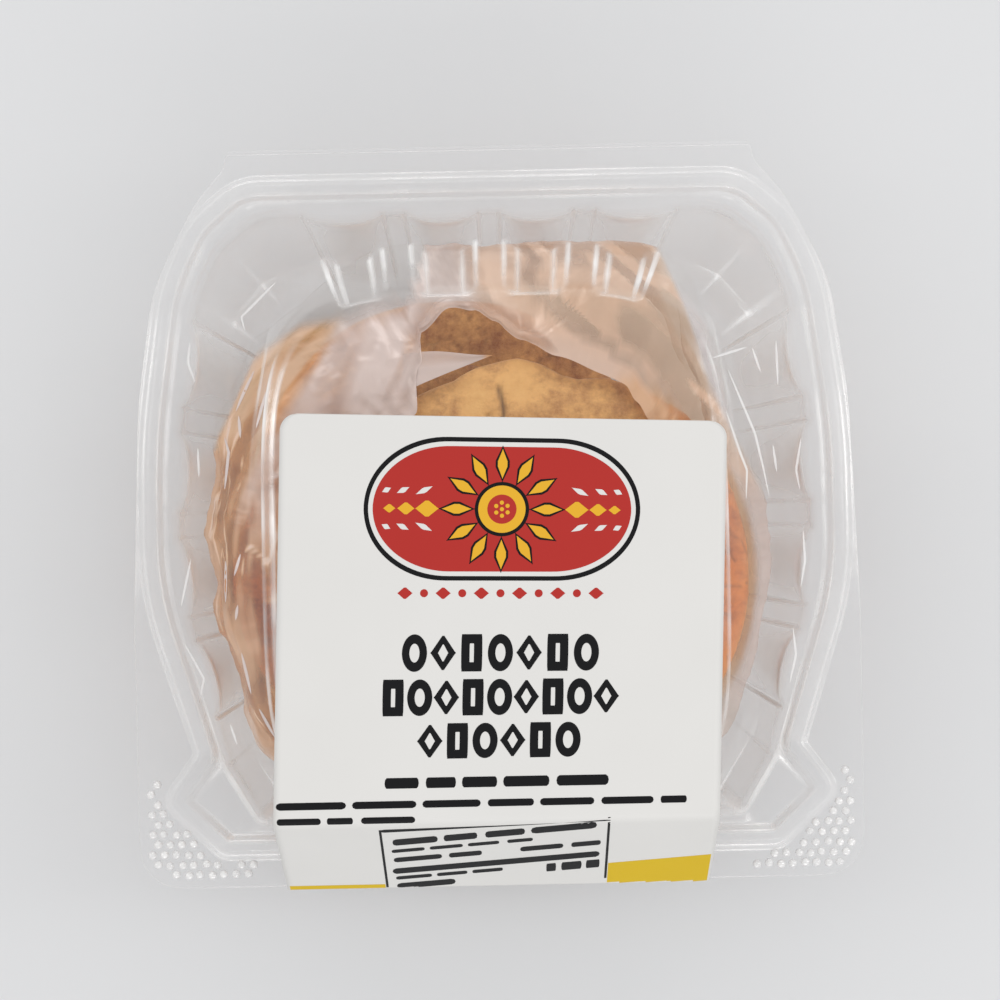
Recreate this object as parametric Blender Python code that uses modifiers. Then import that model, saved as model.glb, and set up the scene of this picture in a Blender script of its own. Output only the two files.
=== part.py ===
"""A clear hinged clamshell pack that holds four coconut macaroon cookies in a loose film wrap.

X runs to the right, the front is at -Y, the lid's hinge is at +Y and the pack stands on z = 0.
The lid and the tray are lofts: outlines seen from above, each at its own height, joined along
stations that run outwards from the middle of the pack.
"""

import math

import bmesh
import bpy
from mathutils import Matrix, Vector, noise

MM = 0.001  # every size below is in millimetres
CENTRE_Y = -0.85  # moves everything so that the pack's box has its middle on the origin

# The tray
FLANGE_Z = 38.0  # top of the tray's flange, and so the tray's depth
WALL = 0.5  # thickness of the formed plastic
FLANGE_FRONT = 76.6
FLANGE_BACK = 78.05
FLANGE_HALF = 76.5  # half width across the front corners
HINGE_HALF = 55.5  # half length of the straight hinge edge
FLOOR_Z = WALL
FOOT_INSET = 4.5  # from here inwards the underside is flat, clear of the bend into the walls

# The locking bead that runs round the rim: half widths at its foot and crest, and its height
TRAY_BEAD = (1.9, 0.9, 1.6)
LID_BEAD = (2.7, 1.6, 2.1)

# The lid
LID_GAP = 0.3  # between the two flanges
LID_FLANGE_Z = FLANGE_Z + LID_GAP + WALL
PLATEAU_Z = LID_FLANGE_Z + 26.5
PLATEAU_HALF = (45.2, 52.6)  # half width and half depth
PLATEAU_Y = -6.7
PLATEAU_POWER = 4.4  # of the rounded square that is the plateau's edge

# Upright lobes in the tray's walls, and the ribs in the back wall of the lid
SIDE_LOBES = (-31.5, -10.5, 10.5, 31.5)  # their middles along the side
END_LOBES = (-28.9, -9.6, 9.6, 28.9)  # their middles along the back and the front
SIDE_LOBE_HALF = (7.2, 4.2)  # half width at the foot of a lobe and on its face
END_LOBE_HALF = (6.6, 3.9)
LOBE_DEPTH = 2.0
RIB_DEPTH = 1.8

# The hinge
HINGE_Y = 78.65
HINGE_Z = FLANGE_Z + LID_GAP / 2
HINGE_RADIUS = 0.3

# The label
LABEL_WIDTH = 88.9
LABEL_TOP_Y = 20.5  # its back edge on the plateau
LABEL_PAPER = 0.3
LABEL_GAP = 0.2
LABEL_SKEW = math.radians(2.2)  # how far it is stuck on askew
LABEL_CORNER = 3.5
LABEL_BEND = 3.0  # radius where it leaves the plateau
LABEL_X = 0.4
LABEL_CREASE = 79.0  # how far along its crease is, beyond which it runs straight forward

# The macaroons, from the bottom up: middle x, y, base z, radius, lean about X and Y in degrees
COOKIE_THICK = 10.6
COOKIES = (
    (-3.0, -2.0, 0.9, 45.0, 0.0, 0.0),
    (-9.5, 4.5, 12.3, 45.0, 0.3, -0.3),
    (-13.6, -9.5, 24.0, 44.5, 0.4, 0.3),
    (5.3, -12.3, 36.0, 46.0, 0.5, -0.5),
)

# The top macaroon's outline, as angle and share of its radius
TOP_EDGE = (
    (0, 1.055),
    (15, 1.06),
    (30, 1.075),
    (43, 1.075),
    (52, 1.05),
    (59, 1.02),
    (67, 0.965),
    (90, 1.0),
    (101, 1.0),
    (125, 0.96),
    (150, 1.0),
    (310, 1.0),
    (330, 1.05),
    (360, 1.055),
)

# The film: thickness, and its open mouth as radius at angle about the top macaroon
FILM_THICK = 0.3
FILM_STATIONS = 60
FILM_MOUTH = (
    (0, 37.0),
    (22, 37.0),
    (40, 39.0),
    (50, 42.0),
    (56, 45.0),
    (61, 47.4),
    (68, 46.2),
    (80, 48.6),
    (95, 56.0),
    (104, 58.0),
    (111, 53.0),
    (122, 41.5),
    (150, 37.0),
    (200, 37.0),
    (250, 40.0),
    (300, 40.0),
)


def material(name, colour, roughness, alpha=1.0):
    """A plain Principled finish."""
    made = bpy.data.materials.new(name)
    made.use_nodes = True
    shader = made.node_tree.nodes["Principled BSDF"]
    shader.inputs["Base Color"].default_value = (*colour, 1.0)
    shader.inputs["Roughness"].default_value = roughness
    shader.inputs["Metallic"].default_value = 0.0
    shader.inputs["Alpha"].default_value = alpha
    return made


def add_object(collection, name, points, faces, finish, origin=(0.0, 0.0, 0.0), thick=0.0):
    """One named object from points in millimetres, with its own origin; thick makes a sheet solid."""
    mesh = bpy.data.meshes.new(name)
    shift = Vector(origin)
    mesh.from_pydata([(Vector(p) - shift) * MM for p in points], [], faces)
    mesh.materials.append(finish)
    mesh.shade_smooth()
    mesh.set_sharp_from_angle(angle=math.radians(35))
    made = bpy.data.objects.new(name, mesh)
    made.location = (shift.x * MM, (shift.y + CENTRE_Y) * MM, shift.z * MM)
    collection.objects.link(made)
    if thick:
        wall = made.modifiers.new("wall", "SOLIDIFY")
        wall.thickness = thick * MM
        wall.offset = -1.0
    return made


def outline(corners, bow_steps=4):
    """A closed outline, mirrored in X, from the corners of its +X half as (x, y, fillet radius).

    The half runs from the front to the back, and each corner is an arc between its two edges.
    """
    mirrored = [(-x, y, r) for x, y, r in reversed(corners)]
    loop = list(corners) + mirrored
    points = []
    for i, (x, y, radius) in enumerate(loop):
        here = Vector((x, y))
        before = Vector(loop[i - 1][:2]) - here
        after = Vector(loop[(i + 1) % len(loop)][:2]) - here
        half = before.angle(after) / 2
        reach = min(radius / math.tan(half), before.length * 0.49, after.length * 0.49)
        start = here + before.normalized() * reach
        end = here + after.normalized() * reach
        for k in range(bow_steps + 1):
            t = k / bow_steps
            points.append((1 - t) ** 2 * start + 2 * t * (1 - t) * here + t * t * end)
    return points


def plateau_outline():
    """The plateau's edge: |x/a|^n + |y/b|^n = 1 about its own middle."""
    half_x, half_y = PLATEAU_HALF
    points = []
    for k in range(120):
        angle = 2 * math.pi * k / 120
        c, s = math.cos(angle), math.sin(angle)
        x = half_x * math.copysign(abs(c) ** (2 / PLATEAU_POWER), c)
        y = half_y * math.copysign(abs(s) ** (2 / PLATEAU_POWER), s)
        points.append(Vector((x, PLATEAU_Y + y)))
    return points


FLANGE_EDGE = outline(
    [
        (FLANGE_HALF, -FLANGE_FRONT, 10.0),
        (FLANGE_HALF + 0.2, -20.0, 200.0),
        (75.0, 25.0, 120.0),
        (71.4, 50.0, 40.0),
        (62.5, 67.5, 30.0),
        (HINGE_HALF + 0.5, 75.0, 1.5),
        (HINGE_HALF, FLANGE_BACK, 0.8),
    ]
)
BEAD_LINE = outline(
    [
        (58.0, -68.0, 3.0),
        (68.5, -58.0, 2.0),
        (61.6, -48.6, 3.0),
        (72.6, -14.0, 70.0),
        (72.4, 18.0, 160.0),
        (67.9, 50.0, 60.0),
        (61.8, 62.6, 14.0),
        (52.5, 70.6, 12.0),
    ]
)
RIM_INSIDE = outline(
    [
        (51.0, -63.6, 4.0),
        (58.3, -51.4, 5.0),
        (68.4, -12.0, 80.0),
        (67.8, 20.0, 160.0),
        (63.8, 48.0, 40.0),
        (58.5, 59.0, 12.0),
        (49.5, 66.3, 12.0),
    ]
)
WALL_FOOT = outline(
    [
        (43.0, -56.0, 8.0),
        (51.0, -46.0, 8.0),
        (58.6, -12.0, 80.0),
        (58.0, 20.0, 160.0),
        (55.5, 42.0, 30.0),
        (43.0, 56.0, 16.0),
    ]
)
FLOOR_EDGE = outline(
    [
        (40.0, -52.0, 8.0),
        (47.5, -43.0, 8.0),
        (54.0, -12.0, 80.0),
        (53.6, 20.0, 160.0),
        (51.0, 40.0, 30.0),
        (40.0, 52.0, 16.0),
    ]
)
LID_LEDGE = outline(
    [
        (42.0, -62.2, 6.0),
        (53.5, -44.0, 10.0),
        (57.8, -12.0, 60.0),
        (55.0, 20.0, 120.0),
        (53.6, 41.5, 3.0),
        (46.8, 49.3, 3.0),
        (33.0, 55.6, 30.0),
        (10.0, 58.0, 60.0),
    ]
)
LID_CREASE = outline(
    [
        (41.0, -61.0, 6.0),
        (49.5, -42.0, 8.0),
        (51.4, -14.0, 60.0),
        (48.4, 20.0, 60.0),
        (44.6, 39.5, 6.0),
        (36.0, 48.8, 6.0),
        (14.0, 52.6, 60.0),
    ]
)
PLATEAU_EDGE = plateau_outline()

STATION_HALF = 57.0  # half size of the square that the stations are spaced on
STATION_FAN = 90.0  # how far back the lines of a side start, so that they run nearly side by side
CORNER_STEPS = 6  # stations beside each corner, closer together towards it


def side_stations(middles, halves):
    """Places along one side of the square, from -1 to 1: four for each lobe, and the corners' own."""
    wide, narrow = halves
    edges = sorted(m + e for m in middles for e in (-wide, -narrow, narrow, wide))
    places = [e / STATION_HALF for e in edges]
    last = places[-1]
    shares = [(k / CORNER_STEPS) ** 0.7 for k in range(1, CORNER_STEPS + 1)]
    corner = [last + (1 - last) * share for share in shares]
    return [-c for c in reversed(corner[:-1])] + places + corner


def stations():
    """Lines seen from above as (start, target): round from the front side to the right and on."""
    sides = (
        (Vector((0, -1)), Vector((1, 0)), END_LOBES, END_LOBE_HALF),
        (Vector((1, 0)), Vector((0, 1)), SIDE_LOBES, SIDE_LOBE_HALF),
        (Vector((0, 1)), Vector((-1, 0)), END_LOBES, END_LOBE_HALF),
        (Vector((-1, 0)), Vector((0, -1)), SIDE_LOBES, SIDE_LOBE_HALF),
    )
    lines = []
    for outward, along, middles, halves in sides:
        for place in side_stations(middles, halves):
            t = min(max((abs(place) - 0.35) / 0.45, 0.0), 1.0)
            spread = 1 - t * t * (3 - 2 * t)
            target = (outward + along * place) * STATION_HALF
            lines.append((-outward * STATION_FAN * spread, target))
    return lines


STATIONS = stations()


def crossing(line, edge):
    """The farthest point where a station's line meets an outline."""
    start, target = line
    way = target - start
    best = None
    for a, b in zip(edge, edge[1:] + edge[:1]):
        step = b - a
        cross = way.x * step.y - way.y * step.x
        if abs(cross) < 1e-9:
            continue
        gap = a - start
        far = (gap.x * step.y - gap.y * step.x) / cross
        share = (gap.x * way.y - gap.y * way.x) / cross
        if -1e-6 <= share <= 1 + 1e-6 and (best is None or far > best):
            best = far
    return start + way * best


def ring(edge, inset=0.0, relief=0.0, relief_at=None):
    """An outline's point on every station, moved inwards by inset, and by relief where asked."""
    points = [crossing(line, edge) for line in STATIONS]
    moved = []
    for i, p in enumerate(points):
        tangent = points[(i + 1) % len(points)] - points[i - 1]
        inward = Vector((-tangent.y, tangent.x)).normalized()
        move = inset + (relief if relief_at and relief_at(STATIONS[i][1]) else 0.0)
        moved.append(p + inward * move)
    return moved


def near(value, middles, half):
    """True on the raised face of one of the lobes."""
    return any(abs(value - m) < half + 0.01 for m in middles)


def on_lobe(target):
    """True where a station runs over the face of a lobe in the tray's wall."""
    if abs(target.x) > abs(target.y):
        return near(target.y, SIDE_LOBES, SIDE_LOBE_HALF[1])
    return near(target.x, END_LOBES, END_LOBE_HALF[1])


def on_back_rib(target):
    """True where a station runs over a rib in the back wall of the lid."""
    return target.y > abs(target.x) and near(target.x, END_LOBES, END_LOBE_HALF[1])


def seen_area(points, corners):
    """Twice a triangle's area seen from above, negative where it is folded over."""
    (ax, ay, _), (bx, by, _), (cx, cy, _) = (points[i] for i in corners)
    return (bx - ax) * (cy - ay) - (cx - ax) * (by - ay)


def loft(rings, centre):
    """Joins rings of (points, z), the outermost first, and closes the middle with a fan.

    Each four-sided patch is cut along the diagonal that keeps both triangles facing up.
    """
    count = len(STATIONS)
    points = [(p.x, p.y, z) for loop, z in rings for p in loop]
    faces = []
    for band in range(len(rings) - 1):
        for i in range(count):
            a, b = band * count + i, band * count + (i + 1) % count
            c, d = b + count, a + count
            ways = ([(a, b, c), (a, c, d)], [(a, b, d), (b, c, d)])
            faces += max(ways, key=lambda pair: min(seen_area(points, corners) for corners in pair))
    middle = len(points)
    points.append(centre)
    first = (len(rings) - 1) * count
    faces += [(first + i, first + (i + 1) % count, middle) for i in range(count)]
    return points, faces


def make_tray(collection, finish):
    """The base: flange, locking bead, walls with upright lobes and a flat floor."""
    foot, crest, rise = TRAY_BEAD
    rings = [
        (ring(FLANGE_EDGE), FLANGE_Z),
        (ring(BEAD_LINE, -foot), FLANGE_Z),
        (ring(BEAD_LINE, -crest), FLANGE_Z + rise),
        (ring(BEAD_LINE, crest), FLANGE_Z + rise),
        (ring(BEAD_LINE, foot), FLANGE_Z - 0.2),
        (ring(RIM_INSIDE), FLANGE_Z - 2.5),
        (ring(RIM_INSIDE, 0.9, LOBE_DEPTH, on_lobe), FLANGE_Z - 5.5),
        (ring(WALL_FOOT, 0.0, LOBE_DEPTH * 0.8, on_lobe), 8.0),
        (ring(FLOOR_EDGE), 1.7),
        (ring(FLOOR_EDGE, 3.0), FLOOR_Z),
        (ring(FLOOR_EDGE, FOOT_INSET), FLOOR_Z),
    ]
    points, faces = loft(rings, (0.0, 0.0, FLOOR_Z))
    return add_object(collection, "tray", points, faces, finish, thick=WALL)


def make_lid(collection, finish, axis):
    """The lid: flange, bead over the tray's, two sloping tiers with ribs behind, and a plateau."""
    foot, crest, rise = LID_BEAD
    rings = [
        (ring(FLANGE_EDGE), LID_FLANGE_Z),
        (ring(BEAD_LINE, -foot), LID_FLANGE_Z),
        (ring(BEAD_LINE, -crest), LID_FLANGE_Z + rise),
        (ring(BEAD_LINE, crest), LID_FLANGE_Z + rise),
        (ring(BEAD_LINE, foot), LID_FLANGE_Z + 0.3),
        (ring(RIM_INSIDE, 0.6), LID_FLANGE_Z + 1.8),
        (ring(LID_LEDGE, 0.0, RIB_DEPTH, on_back_rib), LID_FLANGE_Z + 11.8),
        (ring(LID_CREASE, 0.0, RIB_DEPTH, on_back_rib), LID_FLANGE_Z + 19.3),
        (ring(PLATEAU_EDGE, -1.2), PLATEAU_Z - 1.2),
        (ring(PLATEAU_EDGE, 0.8), PLATEAU_Z),
    ]
    points, faces = loft(rings, (0.0, PLATEAU_Y, PLATEAU_Z))
    return add_object(collection, "lid", points, faces, finish, axis, thick=WALL)


def make_hinge(collection, finish):
    """The folded strip that joins lid and tray, along the hinge's axis."""
    body = bmesh.new()
    bmesh.ops.create_cone(
        body,
        cap_ends=True,
        segments=8,
        radius1=HINGE_RADIUS * MM,
        radius2=HINGE_RADIUS * MM,
        depth=2 * (HINGE_HALF - 1.0) * MM,
        matrix=Matrix.Rotation(math.pi / 2, 4, "Y"),
    )
    mesh = bpy.data.meshes.new("hinge")
    body.to_mesh(mesh)
    body.free()
    mesh.materials.append(finish)
    made = bpy.data.objects.new("hinge", mesh)
    made.location = (0.0, (HINGE_Y + CENTRE_Y) * MM, HINGE_Z * MM)
    collection.objects.link(made)
    return made


def arc(centre, radius, start, end, steps):
    """Points (y, z) on an arc, with angles in degrees from +Y towards +Z."""
    points = []
    for k in range(steps + 1):
        angle = math.radians(start + (end - start) * k / steps)
        points.append((centre[0] + radius * math.cos(angle), centre[1] + radius * math.sin(angle)))
    return points


def label_paths():
    """The label's upper face as (y, z) seen from the side: over the lid, and on down to the tray."""
    top = PLATEAU_Z + LABEL_GAP + LABEL_PAPER
    leave = Vector((PLATEAU_Y - PLATEAU_HALF[1] + 0.9, top))
    edge = Vector((-FLANGE_FRONT - 0.35 - LABEL_PAPER, LID_FLANGE_Z + 0.5))
    slope = math.degrees(math.atan2(leave.y - edge.y, leave.x - edge.x))
    bend = arc((leave.x, top - LABEL_BEND), LABEL_BEND, 90, 90 + slope, 4)
    over = [(LABEL_TOP_Y, top)] + bend + [tuple(edge), (edge.x, FLANGE_Z + LID_GAP)]
    under = [
        (edge.x, FLANGE_Z - 0.1),
        (edge.x, FLANGE_Z - WALL - 0.8),
        (edge.x + 1.2, FLANGE_Z - WALL - 1.8),
        (-65.4, FLANGE_Z - 9.5),
        (-64.2, FLANGE_Z - 13.5),
    ]
    return over, under


def make_label(collection, name, path, along, rows, finish, origin, rounded):
    """A strip of the label, bent along path; along is how far it starts from the back edge."""
    lengths = [0.0]
    for (y0, z0), (y1, z1) in zip(path, path[1:]):
        lengths.append(lengths[-1] + math.hypot(y1 - y0, z1 - z0))
    wanted = sorted({*lengths, *(r for r in rows if r < lengths[-1])})
    half, columns = LABEL_WIDTH / 2, 6
    points = []
    for s in wanted:
        k = max(i for i, length in enumerate(lengths[:-1]) if length <= s)
        t = (s - lengths[k]) / (lengths[k + 1] - lengths[k])
        y = path[k][0] + (path[k + 1][0] - path[k][0]) * t
        z = path[k][1] + (path[k + 1][1] - path[k][1]) * t
        short = max(LABEL_CORNER - s, 0.0) if rounded else 0.0
        cut = LABEL_CORNER - math.sqrt(LABEL_CORNER**2 - short**2)
        for c in range(columns + 1):
            across = (half - cut) * (2 * c / columns - 1)
            x = LABEL_X + across * math.cos(LABEL_SKEW)
            x -= (min(along + s, LABEL_CREASE) - LABEL_WIDTH / 2) * math.sin(LABEL_SKEW)
            slip = -across * math.sin(LABEL_SKEW) if k == 0 and rounded else 0.0
            fade = 1 - min(s / lengths[1], 1.0) if rounded else 0.0
            points.append((x, y + slip * fade, z))
    faces = []
    for r in range(len(wanted) - 1):
        for c in range(columns):
            a = r * (columns + 1) + c
            b, d = a + 1, a + columns + 1
            faces += [(a, d, d + 1), (a, d + 1, b)]
    return add_object(collection, name, points, faces, finish, origin, thick=LABEL_PAPER)


def make_cookie(collection, index, place, finish):
    """A macaroon: a flattened ball with a craggy top and an uneven edge."""
    x, y, base, radius, lean_x, lean_y = place
    body = bmesh.new()
    bmesh.ops.create_uvsphere(body, u_segments=36, v_segments=10, radius=1.0)
    for v in body.verts:
        turn = math.atan2(v.co.y, v.co.x)
        level = math.asin(max(-1.0, min(1.0, v.co.z)))
        rim = max(math.cos(level), 0.0) ** 0.45
        lift = math.copysign(abs(math.sin(level)) ** 0.6, level)
        around = Vector((math.cos(turn), math.sin(turn), index * 3.7))
        edge = 1 + 0.012 * noise.noise(around * 2.2) + 0.008 * noise.noise(around * 6.0)
        if index == len(COOKIES):
            edge *= eased(TOP_EDGE, math.degrees(turn) % 360)
        reach = (radius - 0.8) * rim * edge
        px, py = reach * math.cos(turn), reach * math.sin(turn)
        height = COOKIE_THICK / 2 * (1 + lift * (0.98 if lift < 0 else 0.86))
        crag = noise.noise(Vector((px * 0.11, py * 0.11, index * 5.1)))
        if lift > 0:
            height += 0.9 * crag * min(lift * 1.3, 1.0)
        v.co = Vector((px, py, height)) * MM
    mesh = bpy.data.meshes.new(f"macaroon_{index}")
    body.to_mesh(mesh)
    body.free()
    mesh.materials.append(finish)
    mesh.shade_smooth()
    made = bpy.data.objects.new(mesh.name, mesh)
    made.location = Vector((x, y + CENTRE_Y, base)) * MM
    made.rotation_euler = (math.radians(lean_x), math.radians(lean_y), 0.0)
    collection.objects.link(made)
    return made


def eased(knots, angle):
    """A value at an angle in degrees, eased between named points all round."""
    loop = [*knots, (knots[0][0] + 360, knots[0][1])]
    for (a0, r0), (a1, r1) in zip(loop, loop[1:]):
        if a0 <= angle <= a1 and a1 > a0:
            t = (angle - a0) / (a1 - a0)
            return r0 + (r1 - r0) * t * t * (3 - 2 * t)
    return loop[0][1]


def reach_of_stack(origin, way, low, high):
    """How far the macaroons between two heights reach along a line seen from above."""
    best = 0.0
    for x, y, base, radius, _, _ in COOKIES:
        if base > high or base + COOKIE_THICK < low:
            continue
        to_middle = Vector((x, y)) - origin
        along = to_middle.dot(way)
        inside = radius**2 - to_middle.length_squared + along**2
        if inside > 0:
            best = max(best, along + math.sqrt(inside))
    return best


def reach_of_wall(origin, way, z):
    """How far the tray's walls are along a line at height z, less the depth of their lobes."""
    share = min(max((z - 8.0) / (FLANGE_Z - 5.5 - 8.0), 0.0), 1.0)
    line = (origin, origin + way)
    low = (crossing(line, WALL_FOOT) - origin).length
    high = (crossing(line, RIM_INSIDE) - origin).length - 0.9
    return low + (high - low) * share - LOBE_DEPTH


def make_film(collection, finish):
    """The wrap: from its open mouth over the top macaroon, out and down round the stack."""
    middle = Vector(COOKIES[-1][:2])
    top = COOKIES[-1][2] + COOKIE_THICK
    levels = (
        (0.0, top + 1.7),
        (0.55, top + 2.2),
        (1.0, top + 0.6),
        (None, 40.5),
        (None, 30.0),
        (None, 18.0),
        (None, 6.5),
    )
    points = []
    for share, z in levels:
        for i in range(FILM_STATIONS):
            angle = 360 * i / FILM_STATIONS
            way = Vector((math.cos(math.radians(angle)), math.sin(math.radians(angle))))
            start = eased(FILM_MOUTH, angle)
            ripple = noise.noise(Vector((way.x * 4.0, way.y * 4.0, z * 0.05)))
            if share is None:
                inner = reach_of_stack(middle, way, z - 2.0, z + 2.0)
                outer = reach_of_wall(middle, way, min(z, FLANGE_Z - 5.5))
                far = inner + (outer - inner) * (0.5 + 0.25 * ripple)
            else:
                rim = max(reach_of_stack(middle, way, 34.0, 60.0) + 2.0, start + 2.0)
                ledge = (crossing((middle, middle + way), LID_LEDGE) - middle).length
                far = start + (min(rim, ledge - 1.8) - start) * share
                z_here = z + 0.7 * ripple
            height = z if share is None else z_here
            points.append((middle.x + way.x * far, middle.y + way.y * far, height))
    faces = []
    for band in range(len(levels) - 1):
        for i in range(FILM_STATIONS):
            a = band * FILM_STATIONS + i
            b = band * FILM_STATIONS + (i + 1) % FILM_STATIONS
            c, d = b + FILM_STATIONS, a + FILM_STATIONS
            faces += [(a, d, c), (a, c, b)]
    return add_object(collection, "film_wrap", points, faces, finish, thick=FILM_THICK)


def build():
    """Clears the scene and makes the pack."""
    for old in list(bpy.data.objects):
        bpy.data.objects.remove(old, do_unlink=True)
    collection = bpy.data.collections.new("macaroon_pack")
    bpy.context.scene.collection.children.link(collection)

    clear = material("clear_plastic", (0.86, 0.87, 0.87), 0.12, 0.35)
    film = material("wrap_film", (0.82, 0.76, 0.74), 0.25, 0.5)
    paper = material("label_paper", (0.78, 0.78, 0.76), 0.55)
    crust = material("baked_coconut", (0.62, 0.38, 0.18), 0.8)

    axis = (0.0, HINGE_Y, HINGE_Z)
    make_tray(collection, clear)
    make_lid(collection, clear, axis)
    make_hinge(collection, clear)
    over, under = label_paths()
    corner_rows = [0.15, 0.6, 1.4, 2.4, LABEL_CORNER]
    make_label(collection, "label", over, 0.0, corner_rows, paper, axis, True)
    make_label(collection, "label_tail", under, 112.0, [], paper, (0.0, 0.0, 0.0), False)
    for index, place in enumerate(COOKIES, 1):
        make_cookie(collection, index, place, crust)
    make_film(collection, film)


if __name__ == "__main__":
    build()
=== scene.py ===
"""The looks of a clear hinged pack of coconut macaroon cookies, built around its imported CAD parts.

Every shape is worked out in millimetres with numpy and put into its mesh in metres. X runs to the
right, the front is at -Y, the hinge is at +Y and the pack stands on z = 0.
"""

import math

import bpy
import numpy as np
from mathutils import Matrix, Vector
from mathutils.bvhtree import BVHTree


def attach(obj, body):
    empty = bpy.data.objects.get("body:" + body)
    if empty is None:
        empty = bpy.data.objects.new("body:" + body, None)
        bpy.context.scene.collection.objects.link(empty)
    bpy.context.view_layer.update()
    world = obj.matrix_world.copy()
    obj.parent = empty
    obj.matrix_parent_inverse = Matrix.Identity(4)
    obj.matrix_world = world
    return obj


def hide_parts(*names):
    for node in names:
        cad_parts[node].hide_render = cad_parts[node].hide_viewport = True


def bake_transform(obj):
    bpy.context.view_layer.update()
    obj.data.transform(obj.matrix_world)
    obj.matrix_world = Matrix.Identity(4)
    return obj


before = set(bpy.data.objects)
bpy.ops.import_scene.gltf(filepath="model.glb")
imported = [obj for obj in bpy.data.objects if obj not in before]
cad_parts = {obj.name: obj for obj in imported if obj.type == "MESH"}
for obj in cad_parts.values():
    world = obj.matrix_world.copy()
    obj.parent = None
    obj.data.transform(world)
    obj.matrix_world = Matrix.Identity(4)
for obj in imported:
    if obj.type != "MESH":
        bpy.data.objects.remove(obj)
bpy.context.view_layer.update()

bl_info = {
    "name": "Macaroon pack looks",
    "version": (1, 0, 0),
    "blender": (4, 5, 0),
    "location": "3D View > Sidebar > Macaroon pack",
    "description": "Builds the clear pack, its label, film and cookies around the CAD frame",
    "category": "Object",
}

MM = 0.001

# Sizes in millimetres, as in the CAD
CENTRE_Y = -0.85
WALL = 0.5
PAPER = 0.14
FLANGE_Z = 38.0
LID_FLANGE_Z = 38.8
PLATEAU_Z = 65.3
PLATEAU_HALF = (45.2, 52.6)
PLATEAU_Y = -6.7
PLATEAU_POWER = 4.4

# A bead's half width at its foot and at its crest, and its rise
TRAY_BEAD = (1.9, 0.9, 1.6)
LID_BEAD = (2.7, 1.6, 2.1)

# Middles of the side and end lobes, half widths of the tray's lobes, and a rib's at foot and face
SIDE_LOBES = (-31.5, -10.5, 10.5, 31.5)
END_LOBES = (-28.9, -9.6, 9.6, 28.9)
SIDE_LOBE_HALF = 7.8
END_LOBE_HALF = 7.2
RIB_HALF = (6.6, 3.9)

# Lines seen from above, on which every ring of the tray and the lid has its points
STATION_HALF = 57.0
STATION_FAN = 90.0
STATIONS_PER_SIDE = 225

# Rows in each bend of a profile
BEND_ROWS = 4

# The label: its back edge, how far it is askew, its crease at the rim, and its rounded corners
LABEL_TOP_Y = 20.5
LABEL_SKEW = math.radians(2.2)
LABEL_X = 0.4
LABEL_CREASE = 79.0
LABEL_FRONT_Y = -77.2
LABEL_CORNER = 3.5
LABEL_COLUMNS = 61

# The macaroons from the bottom one up: x, y, underside and radius, then how far each leans in degrees
COOKIE_THICK = 10.6
COOKIES = (
    (-3.0, -2.0, 0.9, 45.0),
    (-9.5, 4.5, 12.3, 45.0),
    (-13.6, -9.5, 24.0, 44.5),
    (5.3, -12.3, 36.0, 46.0),
)
COOKIE_LEAN = ((0.0, 0.0), (0.3, -0.3), (0.4, 0.3), (0.5, -0.5))

# The top macaroon's edge: angles in degrees, and its reach there as a share of its radius
TOP_EDGE = (
    (0, 15, 30, 43, 52, 59, 65, 73, 78, 84, 90, 101, 108, 121, 127, 150, 310, 330, 360),
    (1.055, 1.06, 1.075, 1.075, 1.05, 1.035, 1.02, 0.965, 0.965, 1)
    + (1.02, 1, 0.97, 0.98, 0.95, 1, 1, 1.05, 1.055),
)

# The film's mouth: angles in degrees and reach from the top macaroon's middle
FILM_MOUTH = np.array(
    [(0, 37), (22, 37), (40, 39), (50, 42), (56, 43.6), (61, 45.4), (68, 45.4), (80, 46.6), (89, 49.4)]
    + [(95, 53.5), (99, 56.5), (104, 58), (111, 55), (114, 49), (122, 40.5), (150, 37), (200, 37)]
    + [(250, 40), (300, 40), (360, 37)],
    float,
)

# A line seen from above, as its x and its y, behind which the film is too clear to be seen
FILM_BACK = (
    (-62, -56, -50.6, -40.3, -34.1, -17, -13, 33, 36, 40.4, 44.9, 50, 57, 62),
    (12, 22, 35, 41.7, 42.3, 45.4, 60, 60, 54, 42.2, 27.0, 16, 3, -5),
)

# The eye, where the camera stands, and painted glints, short bright lines painted along creases: lines seen
# from the eye against one level, then lifted off their sheet
EYE = (1.06, 4.03, 503.0)
GLINT_LEVEL = 45.0
GLINT_LIFT = 0.12
LID_GLINTS = (
    ((-44.8, 50.2), (-52, 43.2), (-51.3, 40.3)),
    ((-62.8, 38.1), (-63.3, 33.9), (-61.9, 29.9)),
    ((-61.6, 16.2), (-61.5, 10.1)),
    ((-63.5, -6.9), (-65.8, -16.8)),
    ((-65.3, -24.4), (-61.3, -31.9), (-62.5, -37.1)),
    ((-56.1, -41.4), (-54.7, -45.8)),
    ((48.5, 21.6), (51.2, 13), (52.6, 9.2), (52.3, 3.2)),
    ((49.1, 30.1), (54.4, 16.9), (56.1, 9.1), (57.1, 3.7)),
    ((54.2, 34.6), (55.9, 29.5)),
    ((59.2, 35.9), (59.4, 26.8)),
    ((46, 32.7), (53.1, 34.8)),
    ((64, 15.6), (62.8, 9), (63.5, 5)),
    ((58.1, 14.3), (58.8, 8.7)),
    ((64, -3.5), (64.3, -9.8), (63.3, -15.4)),
    ((61.5, -23.9), (62, -29.5), (60.6, -35.3)),
)
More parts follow.
